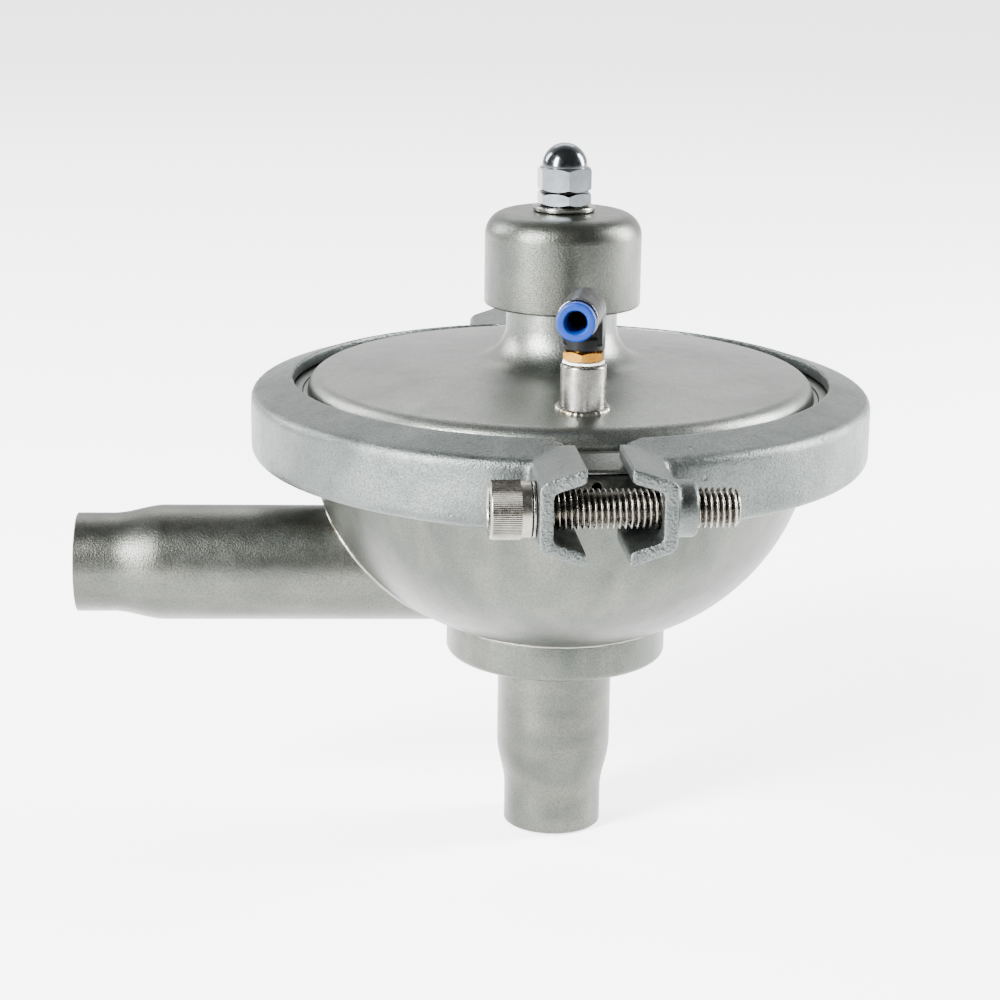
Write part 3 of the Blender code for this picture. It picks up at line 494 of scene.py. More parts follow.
# %% Bowl and hub
CLAMP_Z = 140.0
BOWL_CENTRE = (12.3, 139.2)
BOWL_R = 70.6
WALL = 3.0
HUB_R = 36.5
INLET_Z = 90.5
TUBE_R = 19.0
TUBE_WALL = 1.6
CLAMP_TURN = math.radians(2.8)
FLANGE_R = 95.4
RIM_LOW = 130.3
BOWL_TOP = 138.5
HUB_TOP = 72.6
SEAT_BORE = 17.4
ALONG_MINUS_X = spin(-90, "Y")


def bowl_side(radius, start_z, end_r, steps):
    start = math.degrees(math.asin((start_z - BOWL_CENTRE[1]) / radius))
    end = -math.degrees(math.acos((end_r - BOWL_CENTRE[0]) / radius))
    return arc(BOWL_CENTRE, radius, start, end, steps)


rim = outline((87.6, BOWL_TOP), (88.0, 145.2, 0.3), (FLANGE_R, 145.2, 1.6), (FLANGE_R, 133.3, 0.6),
              (87.1, RIM_LOW), closed=False)
outer = bowl_side(BOWL_R, RIM_LOW, HUB_R, 56)
inner = bowl_side(BOWL_R - WALL, BOWL_TOP, 33.0, 40)
bowl_mesh = turned(rim + outer[1:] + list(reversed(inner)), body_steel, 192)
port = drilled(TUBE_R - TUBE_WALL, 36.0, 100.0)
port.transform(shift(0, 0, INLET_Z) @ ALONG_MINUS_X)
leak = drilled(1.5, 80.0, 100.0, 32)
leak.transform(shift(0, 0, CLAMP_Z + 1.6) @ Matrix.Rotation(CLAMP_TURN, 4, "Z") @ spin(90, "X"))
finished("bowl_shell", carved(bowl_mesh, port, leak), body_steel, "housing", "blasted_steel", "bowl")
hub = outline((30.3, HUB_TOP), (36.4, HUB_TOP, 0.5), (HUB_R, 60.5, 2.4), (SEAT_BORE, 60.5),
              (SEAT_BORE, 61.5), (24.0, 66.5), (30.3, 66.5))
finished("seat_hub", turned(hub, body_steel, 160), body_steel, "housing", "blasted_steel",
         "seat_housing")

# %% [markdown]
# ## The tubes
# Both tubes are drawn down at their weld ends. The taper eases in and out like a cosine, which is
# how a die leaves it. The inlet's inner end follows the bowl's curve, worked out point by point.

# %% Tubes
END_R = 16.3
STRAIGHT = 11.7
TAPER = 17.6
INLET_REACH = 158.5
OUTLET_TOP = 60.3
LIP = 0.25
TAPER_STEPS = 24


def drawn_outline(near, far):
    """Outer line of a drawn tube from the near end to the far one, in millimetres."""
    taper_end = far - STRAIGHT
    line = [(END_R - LIP, far), (END_R, far - LIP), (END_R, taper_end)]
    for step in range(1, TAPER_STEPS):
        share = step / TAPER_STEPS
        ease = (1 - math.cos(math.pi * share)) / 2
        line.append((END_R + (TUBE_R - END_R) * ease, taper_end - TAPER * share))
    return line + [(TUBE_R, taper_end - TAPER), (TUBE_R, near)]


def drawn_tube(near, far):
    outer_line = drawn_outline(near, far)
    inner_line = [(radius - TUBE_WALL, height) for radius, height in reversed(outer_line)]
    inner_line[-1] = (END_R - TUBE_WALL + LIP, far)
    return turned(outer_line + inner_line, tube_steel, 128)


outlet_mesh = drawn_tube(0.0, OUTLET_TOP)
outlet_place = shift(0, 0, OUTLET_TOP) @ Matrix.Rotation(math.pi, 4, "X")
finished("outlet_pipe", outlet_mesh, tube_steel, "housing", "blasted_steel", "outlet_tube",
         place=outlet_place)

inlet_mesh = drawn_tube(60.0, INLET_REACH)
inlet_mesh.transform(shift(0, 0, INLET_Z) @ ALONG_MINUS_X)


def bowl_radius(z_mm, radius):
    return BOWL_CENTRE[0] + math.sqrt(max(radius ** 2 - (z_mm - BOWL_CENTRE[1]) ** 2, 0.0))


for vertex in inlet_mesh.vertices:
    if vertex.co.x > -0.061:
        reach = bowl_radius(vertex.co.z / MM, BOWL_R - WALL) + 0.2
        vertex.co.x = -math.sqrt(reach ** 2 - (vertex.co.y / MM) ** 2) * MM
finished("inlet_pipe", inlet_mesh, tube_steel, "housing", "blasted_steel", "inlet_tube")

# %% [markdown]
# ## Weld beads
# A weld bead follows the line where two pieces meet and swells and shrinks a little as the pool
# freezes. A tree sweeps a small circle along the path and lets its size ripple along the length.

# %% The bead tree
bead_tree, given = new_tree("weld_bead", ("Bead Radius", "Float"), ("Ripple", "Float"))
curve = geo(bead_tree, "MeshToCurve", {"Mesh": given["Geometry"]})
length = geo(bead_tree, "SplineParameter").outputs["Length"]
calc = calculator(bead_tree)
phase = calc("MULTIPLY", calc("DIVIDE", length, given["Ripple"]), 2 * math.pi)
wave = calc("MULTIPLY", calc("SINE", phase), 0.07)
here = geo(bead_tree, "InputPosition").outputs[0]
blobs = node(bead_tree, "ShaderNodeTexNoise", {"Vector": here, "Scale": 220.0, "Detail": 2.0}).outputs[0]
swell = calc("ADD", calc("ADD", wave, blobs), 0.5)
thick = calc("MULTIPLY", swell, given["Bead Radius"])
section = geo(bead_tree, "CurvePrimitiveCircle", {"Resolution": 14, "Radius": 1.0})
links = {"Curve": curve.outputs[0], "Profile Curve": section.outputs[0], "Scale": thick}
swept = geo(bead_tree, "CurveToMesh", links)
end_tree(bead_tree, given, swept.outputs[0])


def bead(name, path, radius_mm, ripple_mm=1.1):
    """A closed weld bead along a path of points in metres."""
    count = len(path)
    wire = bpy.data.meshes.new("path")
    wire.from_pydata(path, [(index, (index + 1) % count) for index in range(count)], [])
    values = {"Bead_Radius": radius_mm * MM, "Ripple": ripple_mm * MM, "Material": weld_steel}
    mesh = facing_out(run_tree(bead_tree, wire, **values))
    return finished(name, mesh, weld_steel, "housing", "blasted_steel", sharp=80.0)


print("bead tree has", len(bead_tree.nodes), "nodes")

# %% The beads on the body
def ring_path(radius, height, centre=(0.0, 0.0), steps=220, lift=None):
    path = []
    for angle in np.linspace(0, 2 * math.pi, steps, endpoint=False):
        x = centre[0] + radius * math.cos(angle)
        y = centre[1] + radius * math.sin(angle)
        z = lift(math.hypot(x, y)) if lift else height
        path.append((x * MM, y * MM, z * MM))
    return path


inlet_seam = []
for angle in np.linspace(0, 2 * math.pi, 260, endpoint=False):
    y = TUBE_R * math.cos(angle)
    z = INLET_Z + TUBE_R * math.sin(angle)
    x = -math.sqrt(bowl_radius(z, BOWL_R) ** 2 - y ** 2)
    inlet_seam.append((x * MM, y * MM, z * MM))
bead("inlet_weld", inlet_seam, 0.85)
bead("outlet_weld", ring_path(TUBE_R + 0.1, OUTLET_TOP), 0.8)
bead("hub_weld", ring_path(HUB_R - 0.35, 72.75), 0.55)

# %% [markdown]
# ## The cover
# The cover is one turned piece: a flange under the clamp, a steep rounded edge, a dome that rises
# only a few millimetres, and a neck that flares into it. The dome's line leaves the neck level and
# steepens toward the edge, which gives the long soft highlight.

# %% Cover
NECK_FLARE = 12.0
DOME_TOP = 159.8
EDGE_CENTRE = (76.5, 149.8)
EDGE_R = 5.9
EDGE_START = 82.0
EDGE_END = 5
DOME_START = 30.0
NECK_BORE = 9.3
edge_top = arc(EDGE_CENTRE, EDGE_R, EDGE_START, EDGE_END)[0]


def dome_height(radius):
    """Height of the dome at a distance from the axis, in millimetres."""
    share = min(max((radius - DOME_START) / (edge_top[0] - DOME_START), 0.0), 1.0)
    return DOME_TOP - (DOME_TOP - edge_top[1]) * share ** 1.5


dome = [(radius, dome_height(radius)) for radius in np.linspace(32.0, edge_top[0], 40)]
inside = [(radius, dome_height(radius) - WALL) for radius in np.linspace(76.7, 32.0, 24)]
top = outline((NECK_BORE, 183.0), (22.1, 183.0, 0.3), (22.1, 179.6), (18.0, 179.6), closed=False)
flare = arc((DOME_START, DOME_TOP + NECK_FLARE), NECK_FLARE, 180, 270, 20)
edge = arc(EDGE_CENTRE, EDGE_R, EDGE_START, EDGE_END, 16)[1:]
flange = outline((82.4, 149.6), (82.4, 149.0, 0.3), (83.9, 149.0, 0.3), (84.2, 149.7, 0.25),
                 (87.1, 149.7, 0.8), (FLANGE_R, 146.7, 0.5), (FLANGE_R, 145.5, 0.3), (87.7, 145.5),
                 (87.7, 141.8), (79.4, 141.8), closed=False)
under = arc(EDGE_CENTRE, EDGE_R - WALL, 0, EDGE_START, 8)
core = [(6.2, 156.8), (6.2, 163.0), (NECK_BORE, 163.0)]
cover_mesh = turned(top + flare + dome + edge + flange + under + inside + core, cover_steel, 224)
finished("domed_cover", cover_mesh, cover_steel, "housing", "blasted_steel", "cover")

# %% [markdown]
# ## Bonnet, nuts and washer
# The bonnet is a deep drawn bell. A hexagon nut is a hexagon cut by a cone at each face, which
# leaves the curved lines at its corners. Each column of the nut's mesh drops by what the cone
# takes from it there.

# %% Bonnet and washer
SPINDLE_HOLE = 5.3
BELL_TOP = 208.3
BELL_LOW = 178.3
bonnet = outline((SPINDLE_HOLE, BELL_TOP), (25.3, BELL_TOP, 7.5), (25.3, BELL_LOW, 0.8),
                 (22.4, BELL_LOW, 0.3), (22.4, 205.4, 4.5), (SPINDLE_HOLE, 205.4))
finished("bell_bonnet", turned(bonnet, body_steel, 160), body_steel, "housing", "blasted_steel",
         "bonnet")
washer = outline((SPINDLE_HOLE, 208.6), (9.95, 208.6, 0.3), (9.95, 210.2, 0.5), (SPINDLE_HOLE, 210.2))
finished("bonnet_washer", turned(washer, washer_steel), washer_steel, "housing", "bright_steel",
         "top_washer")

# %% Hexagon nuts
def hexagon_mesh(across_flats, bottom, top, bore, turn, cut_bottom=True, cut_top=True):
    """A hexagon nut with cone-cut faces, sizes in millimetres and turn in degrees."""
    columns = 180
    rings = [[] for _ in range(6)]
    flat = across_flats / 2
    face_r = flat * 0.97
    square_edge = 0.02
    lean = math.tan(math.radians(30))
    for column in range(columns):
        angle = 2 * math.pi * column / columns
        corner = flat / math.cos((angle % (math.pi / 3)) - math.pi / 6)
        drop = (corner - face_r) * lean
        low_r, low_drop = (face_r, drop) if cut_bottom else (corner, square_edge)
        high_r, high_drop = (face_r, drop) if cut_top else (corner, square_edge)
        around = angle + math.radians(turn)
        points = ((bore, bottom), (low_r, bottom), (corner, bottom + low_drop),
                  (corner, top - high_drop), (high_r, top), (bore, top))
        for ring, (radius, height) in zip(rings, points):
            ring.append((radius * math.cos(around) * MM, radius * math.sin(around) * MM, height * MM))
    vertices = [vertex for ring in rings for vertex in ring]
    faces = []
    for ring_index in range(6):
        for column in range(columns):
            following = (column + 1) % columns
            low = ring_index * columns
            high = ((ring_index + 1) % 6) * columns
            faces.append((low + column, low + following, high + following, high + column))
    mesh = bpy.data.meshes.new("nut")
    mesh.from_pydata(vertices, [], faces)
    return facing_out(mesh)


NUT_TURN = 35.7
NUT_FLATS = 16.0
NUT_SHARP = 20.0
CAP_R = 7.3
lock_mesh = hexagon_mesh(NUT_FLATS, 210.5, 214.7, SPINDLE_HOLE, NUT_TURN)
finished("thin_lock_nut", lock_mesh, polished_steel, "adjusting_spindle", "bright_steel", "lock_nut",
         sharp=NUT_SHARP)
cap_mesh = hexagon_mesh(NUT_FLATS, 215.0, 222.6, SPINDLE_HOLE, NUT_TURN)
dome_line = [(0, 230.2)] + arc((0, 222.9), CAP_R, 80, 0, 16)
dome_line += [(CAP_R, 222.5), (5.0, 222.5), (5.0, 226.0), (0, 226.6)]
cap_dome = turned(dome_line, polished_steel, 96, closed=False)
finished("cap_nut_hexagon", cap_mesh, polished_steel, "adjusting_spindle", "bright_steel", "cap_nut",
         sharp=NUT_SHARP)
finished("cap_nut_dome", cap_dome, polished_steel, "adjusting_spindle", "bright_steel")

# %% [markdown]
# ## Threads
# A screw thread is a groove that climbs one pitch for each turn. The tree takes a plain rod with
# many rows and pulls each point in by a triangle wave of height minus angle. It also stores how
# deep each point lies, and the screw's material paints shade there, darkening the thread roots.

# %% The thread tree
thread_tree, given = new_tree("screw_thread", ("Pitch", "Float"), ("Crest", "Float"),
                              ("Depth", "Float"))
calc = calculator(thread_tree)
x, y, z = axes(thread_tree)
turns = calc("DIVIDE", calc("ARCTAN2", y, x), 2 * math.pi)
climb = calc("DIVIDE", z, given["Pitch"])
tooth = calc("PINGPONG", calc("SUBTRACT", climb, turns), 0.5)
links = {"Value": tooth, "From Min": 0.07, "From Max": 0.45}
wave = node(thread_tree, "ShaderNodeMapRange", links).outputs["Result"]
allowed = calc("SUBTRACT", given["Crest"], calc("MULTIPLY", wave, given["Depth"]))
square = calc("ADD", calc("MULTIPLY", x, x), calc("MULTIPLY", y, y))
radius = calc("MAXIMUM", calc("SQRT", square), 0.000001)
factor = calc("DIVIDE", calc("MINIMUM", radius, allowed), radius)
links = {"X": calc("MULTIPLY", x, factor), "Y": calc("MULTIPLY", y, factor), "Z": z}
place = node(thread_tree, "ShaderNodeCombineXYZ", links)
# The stored depth drives the painted shade in the thread roots.
links = {"Geometry": given["Geometry"], "Name": "groove", "Value": wave}
marked = geo(thread_tree, "StoreNamedAttribute", links, data_type="FLOAT", domain="POINT")
links = {"Geometry": marked.outputs[0], "Position": place.outputs[0]}
cut_rod = geo(thread_tree, "SetPosition", links)
end_tree(thread_tree, given, cut_rod.outputs[0])
print("thread tree has", len(thread_tree.nodes), "nodes")

# %% [markdown]
# ## Bars round a circle
# The knurl on a screw head and the teeth of the elbow's grip ring are both small bars set round a
# circle. One tree puts a bar on each point of a circle and turns it to face out.

# %% The ring-of-bars tree
bars_tree, given = new_tree("bars_round_a_circle", ("Count", "Int"), ("Circle", "Float"),
                            ("Bar Radius", "Float"), ("Bar Length", "Float"), ("Lean", "Float"))
links = {"Vertices": given["Count"], "Radius": given["Circle"]}
circle = geo(bars_tree, "MeshCircle", links)
links = {"Vertices": 4, "Radius": given["Bar Radius"], "Depth": given["Bar Length"]}
one_bar = geo(bars_tree, "MeshCylinder", links)
x, y, _ = axes(bars_tree)
heading = calculator(bars_tree)("ARCTAN2", y, x)
turn = node(bars_tree, "ShaderNodeCombineXYZ", {"X": 0.0, "Y": given["Lean"], "Z": heading})
links = {"Points": circle.outputs[0], "Instance": one_bar.outputs["Mesh"], "Rotation": turn.outputs[0]}
placed = geo(bars_tree, "InstanceOnPoints", links)
end_tree(bars_tree, given, placed.outputs[0])
print("bars tree has", len(bars_tree.nodes), "nodes")

# %% Clamp screws and washers
SCREW_Y = 113.0
UNDER_HEAD = 21.3
HEAD_TOP = 33.3
TIP = -38.7
PITCH_MM = 1.75
CREST = 5.85
THREAD_DEPTH = 1.02
ROWS_PER_TURN = 12
NOSE = 1.3
HEAD_R = 8.4
BAR_R = 0.28


def joined(*meshes):
    """Several meshes as one."""
    shape = bmesh.new()
    for mesh in meshes:
        shape.from_mesh(mesh)
    made = bpy.data.meshes.new("joined")
    shape.to_mesh(made)
    shape.free()
    return made


def clamp_place(turn):
    """The clamp's plane, with its half or screw turned about the axis."""
    return shift(0, 0, CLAMP_Z) @ Matrix.Rotation(CLAMP_TURN + turn, 4, "Z")


def screw_place(turn):
    return clamp_place(turn) @ shift(0, -SCREW_Y, 0) @ ALONG_MINUS_X


rows = int((UNDER_HEAD - TIP) / PITCH_MM * ROWS_PER_TURN)
rod = [(0, TIP), (CREST - NOSE, TIP)]
rod += [(CREST - NOSE + NOSE * step / 6, TIP + 1.2 * step / 6) for step in range(1, 7)]
rod += [(CREST, height) for height in np.linspace(TIP + NOSE, UNDER_HEAD + 0.2, rows)]
rod += [(0, UNDER_HEAD + 0.2)]
rod_mesh = turned(rod, formed_steel, 48, closed=False)
values = {"Pitch": PITCH_MM * MM, "Crest": CREST * MM, "Depth": THREAD_DEPTH * MM,
          "Material": formed_steel}
threaded = run_tree(thread_tree, rod_mesh, **values)
head = outline((5.5, UNDER_HEAD), (HEAD_R, UNDER_HEAD, 0.3), (HEAD_R, HEAD_TOP, 0.8),
               (6.4, HEAD_TOP, 0.3), (6.2, HEAD_TOP - 0.5), (0.0, HEAD_TOP - 0.5),
               (0.0, UNDER_HEAD + 1.0), (5.5, UNDER_HEAD + 1.0), closed=False)
socket = hexagon_mesh(10.0, HEAD_TOP - 6.0, HEAD_TOP + 2.0, 0.01, 0.0, False, False)
head_mesh = carved(turned(head, formed_steel, 128), socket)
knurl_low = UNDER_HEAD + 3.0
knurl_high = HEAD_TOP - 0.7
empty = bpy.data.meshes.new("start")
values = {"Count": 88, "Circle": 8.3 * MM, "Bar_Radius": BAR_R * MM,
          "Bar_Length": (knurl_high - knurl_low) * MM, "Lean": 0.0, "Material": formed_steel}
knurl = run_tree(bars_tree, empty, **values)
knurl.transform(shift(0, 0, (knurl_low + knurl_high) / 2))
washer = outline((6.55, 20.2), (HEAD_R, 20.2, 0.15), (HEAD_R, 21.0, 0.2), (6.55, 21.0))
for where, turn in (("front", 0.0), ("rear", math.pi)):
    place = screw_place(turn)
    finished("screw_thread_" + where, threaded.copy(), formed_steel, "screw_" + where, "dark_steel",
             "clamp_screw_" + where, sharp=50.0, place=place)
    finished("screw_head_" + where, joined(head_mesh, knurl), formed_steel, "screw_" + where,
             "dark_steel", place=place)
    finished("screw_washer_" + where, turned(washer, washer_steel, 96), washer_steel,
             "washer_" + where, "bright_steel", "clamp_washer_" + where, place=place)

# %% [markdown]
# ## The clamp
# Each half is a casting: a ring of channel section that turns out into two lugs. It is built from
# plain solids and cuts, and then remeshed into even small faces and relaxed, which melts every
# edge into the soft radius that a casting has.

# %% Clamp solids
INNER_R = 87.1
DEPTH = 13.7
WEB_HALF = 10.0
SLOPE = math.tan(math.radians(18.5))
THICKNESS = 4.2
TIP_X = 6.2
LUG_REACH = 124.0
CORNER_R = 12.0
HALF_HEIGHT = 22
FACE_REACH = 1.3


def channel_outside(tip):
    """Outside of the channel's section as (distance, height)."""
    half_top = WEB_HALF + DEPTH * SLOPE
    return outline((tip, -half_top), (tip, half_top), (tip + DEPTH, WEB_HALF, 3.5),
                   (tip + DEPTH, -WEB_HALF, 3.5))


def channel_inside(tip, reach):
    """Inside of the section, which reaches past the tip."""
    lean = THICKNESS * math.sqrt(1 + SLOPE ** 2)
    floor = DEPTH - THICKNESS
    edge = WEB_HALF + DEPTH * SLOPE - lean
    mouth = edge + reach * SLOPE
    back = edge - floor * SLOPE
    return outline((tip - reach, -mouth), (tip - reach, mouth), (tip + floor, back, 1.2),
                   (tip + floor, -back, 1.2))


def extruded(flat_points, low, high, axis):
    """A flat outline in millimetres pushed along Y or Z into a solid."""
    count = len(flat_points)
    vertices = []
    for level_mm in (low, high):
        for a, b in flat_points:
            place = (a, level_mm, b) if axis == "Y" else (a, b, level_mm)
            vertices.append(tuple(value * MM for value in place))
    faces = [tuple(range(count)), tuple(range(count, 2 * count))]
    faces += [(i, (i + 1) % count, count + (i + 1) % count, count + i) for i in range(count)]
    mesh = bpy.data.meshes.new("extruded")
    mesh.from_pydata(vertices, [], faces)
    return facing_out(mesh)


def lug(section, near, far):
    """The channel's section pushed outward along Y."""
    flat_points = [(-distance, height) for distance, height in section]
    return extruded(flat_points, min(near, far), max(near, far), "Y")


def corner_cut(side):
    """Rounds the corner where the ring's inner edge turns out into a lug."""
    centre_x = -TIP_X - CORNER_R
    centre_y = math.sqrt((INNER_R + CORNER_R) ** 2 - centre_x ** 2)
    sweep = math.degrees(math.atan2(centre_y, -centre_x))
    line = [(-TIP_X + 3, centre_y)] + arc((centre_x, centre_y), CORNER_R, 0, -sweep, 14)
    line += [(line[-1][0], 75), (-TIP_X + 3, 75)]
    return extruded([(x, side * y) for x, y in line], -HALF_HEIGHT, HALF_HEIGHT, "Z")


def along_x(mesh, y_mm):
    """Lays an upright mesh along minus X at this Y."""
    mesh.transform(shift(0, y_mm, 0) @ ALONG_MINUS_X)
    return mesh


boss_line = [(0, 16.0), (8.4, 16.0), (8.4, 25.6), (7.7, 26.3), (0, 26.3)]
boss = turned(boss_line, clamp_steel, 64, closed=False)
steps = [(lug(channel_outside(TIP_X), side * 92, side * LUG_REACH), "UNION") for side in (-1, 1)]
steps.append((along_x(boss, SCREW_Y), "UNION"))
steps.append(turned(channel_inside(INNER_R, 8), clamp_steel, 160))
steps += [lug(channel_inside(TIP_X, 8), side * 82, side * 130) for side in (-1, 1)]
steps.append(extruded([(-TIP_X, -140), (120, -140), (120, 140), (-TIP_X, 140)], -30, 30, "Z"))
steps += [corner_cut(side) for side in (-1, 1)]
steps.append(along_x(drilled(6.6, 8, 24), -SCREW_Y))
steps.append(along_x(drilled(6.1, 8, 30), SCREW_Y))
half_mesh = carved(turned(channel_outside(INNER_R), clamp_steel, 160), *steps)
print("clamp half has", len(half_mesh.polygons), "faces before remeshing")

# %% Clamp casting
def remeshed(mesh, voxel_mm, rounds):
    """Even small faces over the whole solid, relaxed so that edges turn soft."""
    carrier = in_scene("casting", mesh)
    fine = carrier.modifiers.new("voxels", "REMESH")
    fine.mode = "VOXEL"
    fine.voxel_size = voxel_mm * MM
    relax = carrier.modifiers.new("relax", "SMOOTH")
    relax.factor = 0.5
    relax.iterations = rounds
    return evaluated_mesh(carrier)


casting = remeshed(half_mesh, 0.75, 3)
raw = casting.attributes.new("raw_face", "FLOAT", "POINT")
far = np.array([abs(vertex.co.y) / MM for vertex in casting.vertices])
raw.data.foreach_set("value", np.clip((far - LUG_REACH + FACE_REACH) / 0.8, 0, 1))
for side, turn in (("left", 0.0), ("right", math.pi)):
    finished("clamp_casting_" + side, casting.copy(), clamp_steel, "clamp_" + side, "cast_steel",
             "clamp_half_" + side, sharp=75.0, place=clamp_place(turn))

# %% [markdown]
# ## Air boss and fitting
# A short boss is welded into the cover. The brass stud is screwed into it over white tape, and the
# black elbow turns on the stud. Its blue collar frees the tube when it is pressed.

# %% Boss, tape and stud
AIR = (2.7, -61.0)
BOSS_TOP = 171.3
AIR_BORE = 4.9
TAPE_STEPS = 160
at_boss = shift(*AIR, 0)
boss_line = outline((AIR_BORE, 152.5), (7.0, 152.5), (7.0, BOSS_TOP, 0.7), (AIR_BORE, BOSS_TOP, 0.3))
boss_steel = smooth_metal("brushed_boss_steel", "#83827D", "#64635F", 0.24, 0.33, 0.9, 0.02)
finished("air_boss_tube", turned(boss_line, boss_steel, 96), boss_steel, "housing", "blasted_steel",
         "air_boss", place=at_boss)
bead("boss_weld", ring_path(7.3, 0, AIR, 120, dome_height), 1.15, 1.6)

tape_line = outline((5.0, BOSS_TOP + 0.3), (6.4, BOSS_TOP + 0.3, 0.2), (6.3, BOSS_TOP + 1.0, 0.2),
                    (5.0, BOSS_TOP + 1.0))
tape = turned(tape_line, ptfe_tape, TAPE_STEPS)
draw = np.random.default_rng(7)
ragged = np.convolve(draw.normal(0, 1, TAPE_STEPS + 16), np.ones(5) / 5, "same")[8:TAPE_STEPS + 8]
for vertex in tape.vertices:
    around = math.atan2(vertex.co.y, vertex.co.x) / (2 * math.pi) % 1
    slot_index = int(around * TAPE_STEPS) % TAPE_STEPS
    radial = math.hypot(vertex.co.x, vertex.co.y)
    grow = 1 + 0.05 * ragged[slot_index] * (radial > 5.5 * MM)
    vertex.co.x *= grow
    vertex.co.y *= grow
finished("thread_tape_ring", tape, ptfe_tape, "housing", "white_tape", "thread_tape", place=at_boss,
         sharp=60.0)
hexagon = hexagon_mesh(12.0, BOSS_TOP + 1.3, BOSS_TOP + 4.3, 3.0, 20.0)
SPIGOT_R = 4.7
spigot_line = outline((2.0, BOSS_TOP - 8), (4.6, BOSS_TOP - 8), (SPIGOT_R, BOSS_TOP + 8.7),
                      (3.5, BOSS_TOP + 8.7), (3.5, BOSS_TOP + 11.1), (SPIGOT_R, BOSS_TOP + 11.1),
                      (SPIGOT_R, BOSS_TOP + 13.4), (2.0, BOSS_TOP + 13.4))
spigot = turned(spigot_line, brass, 64)
finished("stud_hexagon", hexagon, brass, "housing", "brass", "fitting_stud", place=at_boss,
         sharp=NUT_SHARP)
finished("stud_spigot", spigot, brass, "housing", "brass", place=at_boss)

# %% Elbow
AXIS_Z = 188.2
REACH = 18.2
BARREL_R = 6.3
at_mouth = shift(*AIR, AXIS_Z) @ spin(-11, "Z") @ spin(90, "X")
upright_line = outline((0, BOSS_TOP + 4.6), (6.4, BOSS_TOP + 4.6, 0.3), (6.4, BOSS_TOP + 8.4, 0.3),
                       (5.9, BOSS_TOP + 8.9), (5.9, AXIS_Z + 1), (0, AXIS_Z + 1), closed=False)
upright_barrel = turned(upright_line, black_nylon, 96, closed=False)
upright_barrel.transform(at_boss)
level_line = [(0, -BARREL_R)] + arc((0, 0), BARREL_R, -84, 0, 12)
level_line += [(BARREL_R, REACH - 0.4), (6.0, REACH), (0, REACH)]
level_barrel = turned(level_line, black_nylon, 96, closed=False)
level_barrel.transform(at_mouth)
block = extruded([(-6.0, -10.2), (6.0, -10.2), (6.0, 0.0), (-6.0, 0.0)], -4.5, 4.5, "Z")
block.transform(at_mouth)
elbow_mesh = remeshed(joined(upright_barrel, level_barrel, block), 0.3, 3)
mouth_bore = drilled(5.2, 6.0, REACH + 5, 64)
mouth_bore.transform(at_mouth)
passage = drilled(2.2, 0.0, 8.0, 32)
passage.transform(at_mouth)
elbow_mesh = carved(elbow_mesh, mouth_bore, passage)
finished("push_in_elbow", elbow_mesh, black_nylon, "air_elbow", "black_plastic", "elbow", sharp=50.0)

# %% Mouth ring, grip teeth and collar
mouth_line = outline((5.0, REACH + 0.3), (6.25, REACH + 0.3, 0.3), (6.25, REACH + 1.1, 0.3),
                     (5.0, REACH + 1.1))
finished("mouth_trim_ring", turned(mouth_line, polished_steel, 96), polished_steel, "air_elbow",
         "bright_steel", "mouth_ring", place=at_mouth)
grip_line = outline((3.6, 8.7), (5.0, 8.7), (5.0, 10.0), (3.6, 10.0))
values = {"Count": 10, "Circle": 3.1 * MM, "Bar_Radius": 0.32 * MM, "Bar_Length": 1.4 * MM,
          "Lean": 0.9, "Material": polished_steel}
teeth = run_tree(bars_tree, empty, **values)
teeth.transform(shift(0, 0, 9.6))
grip_mesh = joined(turned(grip_line, polished_steel, 64), teeth)
finished("tube_grip_ring", grip_mesh, polished_steel, "air_elbow", "bright_steel", "grip_ring",
         place=at_mouth)
FACE = REACH + 5.0
COLLAR_BACK = REACH - 5.5
COLLAR_R = 5.9
collar_line = outline((3.3, COLLAR_BACK), (3.3, FACE - 0.9, 0.3), (3.7, FACE, 0.35),
                      (COLLAR_R, FACE, 0.7), (COLLAR_R, FACE - 2.4, 0.4), (4.7, FACE - 2.4),
                      (4.7, COLLAR_BACK))
finished("blue_collar", turned(collar_line, blue_acetal, 96), blue_acetal, "release_collar",
         "blue_plastic", "release_collar", place=at_mouth)

# %% [markdown]
# ## Hidden moving pieces
# The diaphragm and the bias spring change shape as the stem lifts, so each is its own piece with
# a mesh of its own. The rest of the inside keeps its CAD shape and gets a finish.

# %% Diaphragm and spring
CENTRE_Z = CLAMP_Z - 10.0
RUBBER_R = 87.3
STEM_HOLE = 5.3
FLAT_R = 32.0
rubber_line = outline((STEM_HOLE, CENTRE_Z + 1), (FLAT_R, CENTRE_Z + 1, 4.0), (78.0, CLAMP_Z + 1.4, 3.0),
                      (RUBBER_R, CLAMP_Z + 1.4, 0.6), (RUBBER_R, CLAMP_Z - 1.1, 0.6),
                      (81.0, CLAMP_Z - 1.1, 1.0), (FLAT_R, CENTRE_Z - 1, 4.0), (STEM_HOLE, CENTRE_Z - 1))
sheet = finished("rubber_diaphragm", turned(rubber_line, black_rubber, 96), black_rubber, "housing",
                 "black_rubber", "diaphragm")
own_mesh(sheet)

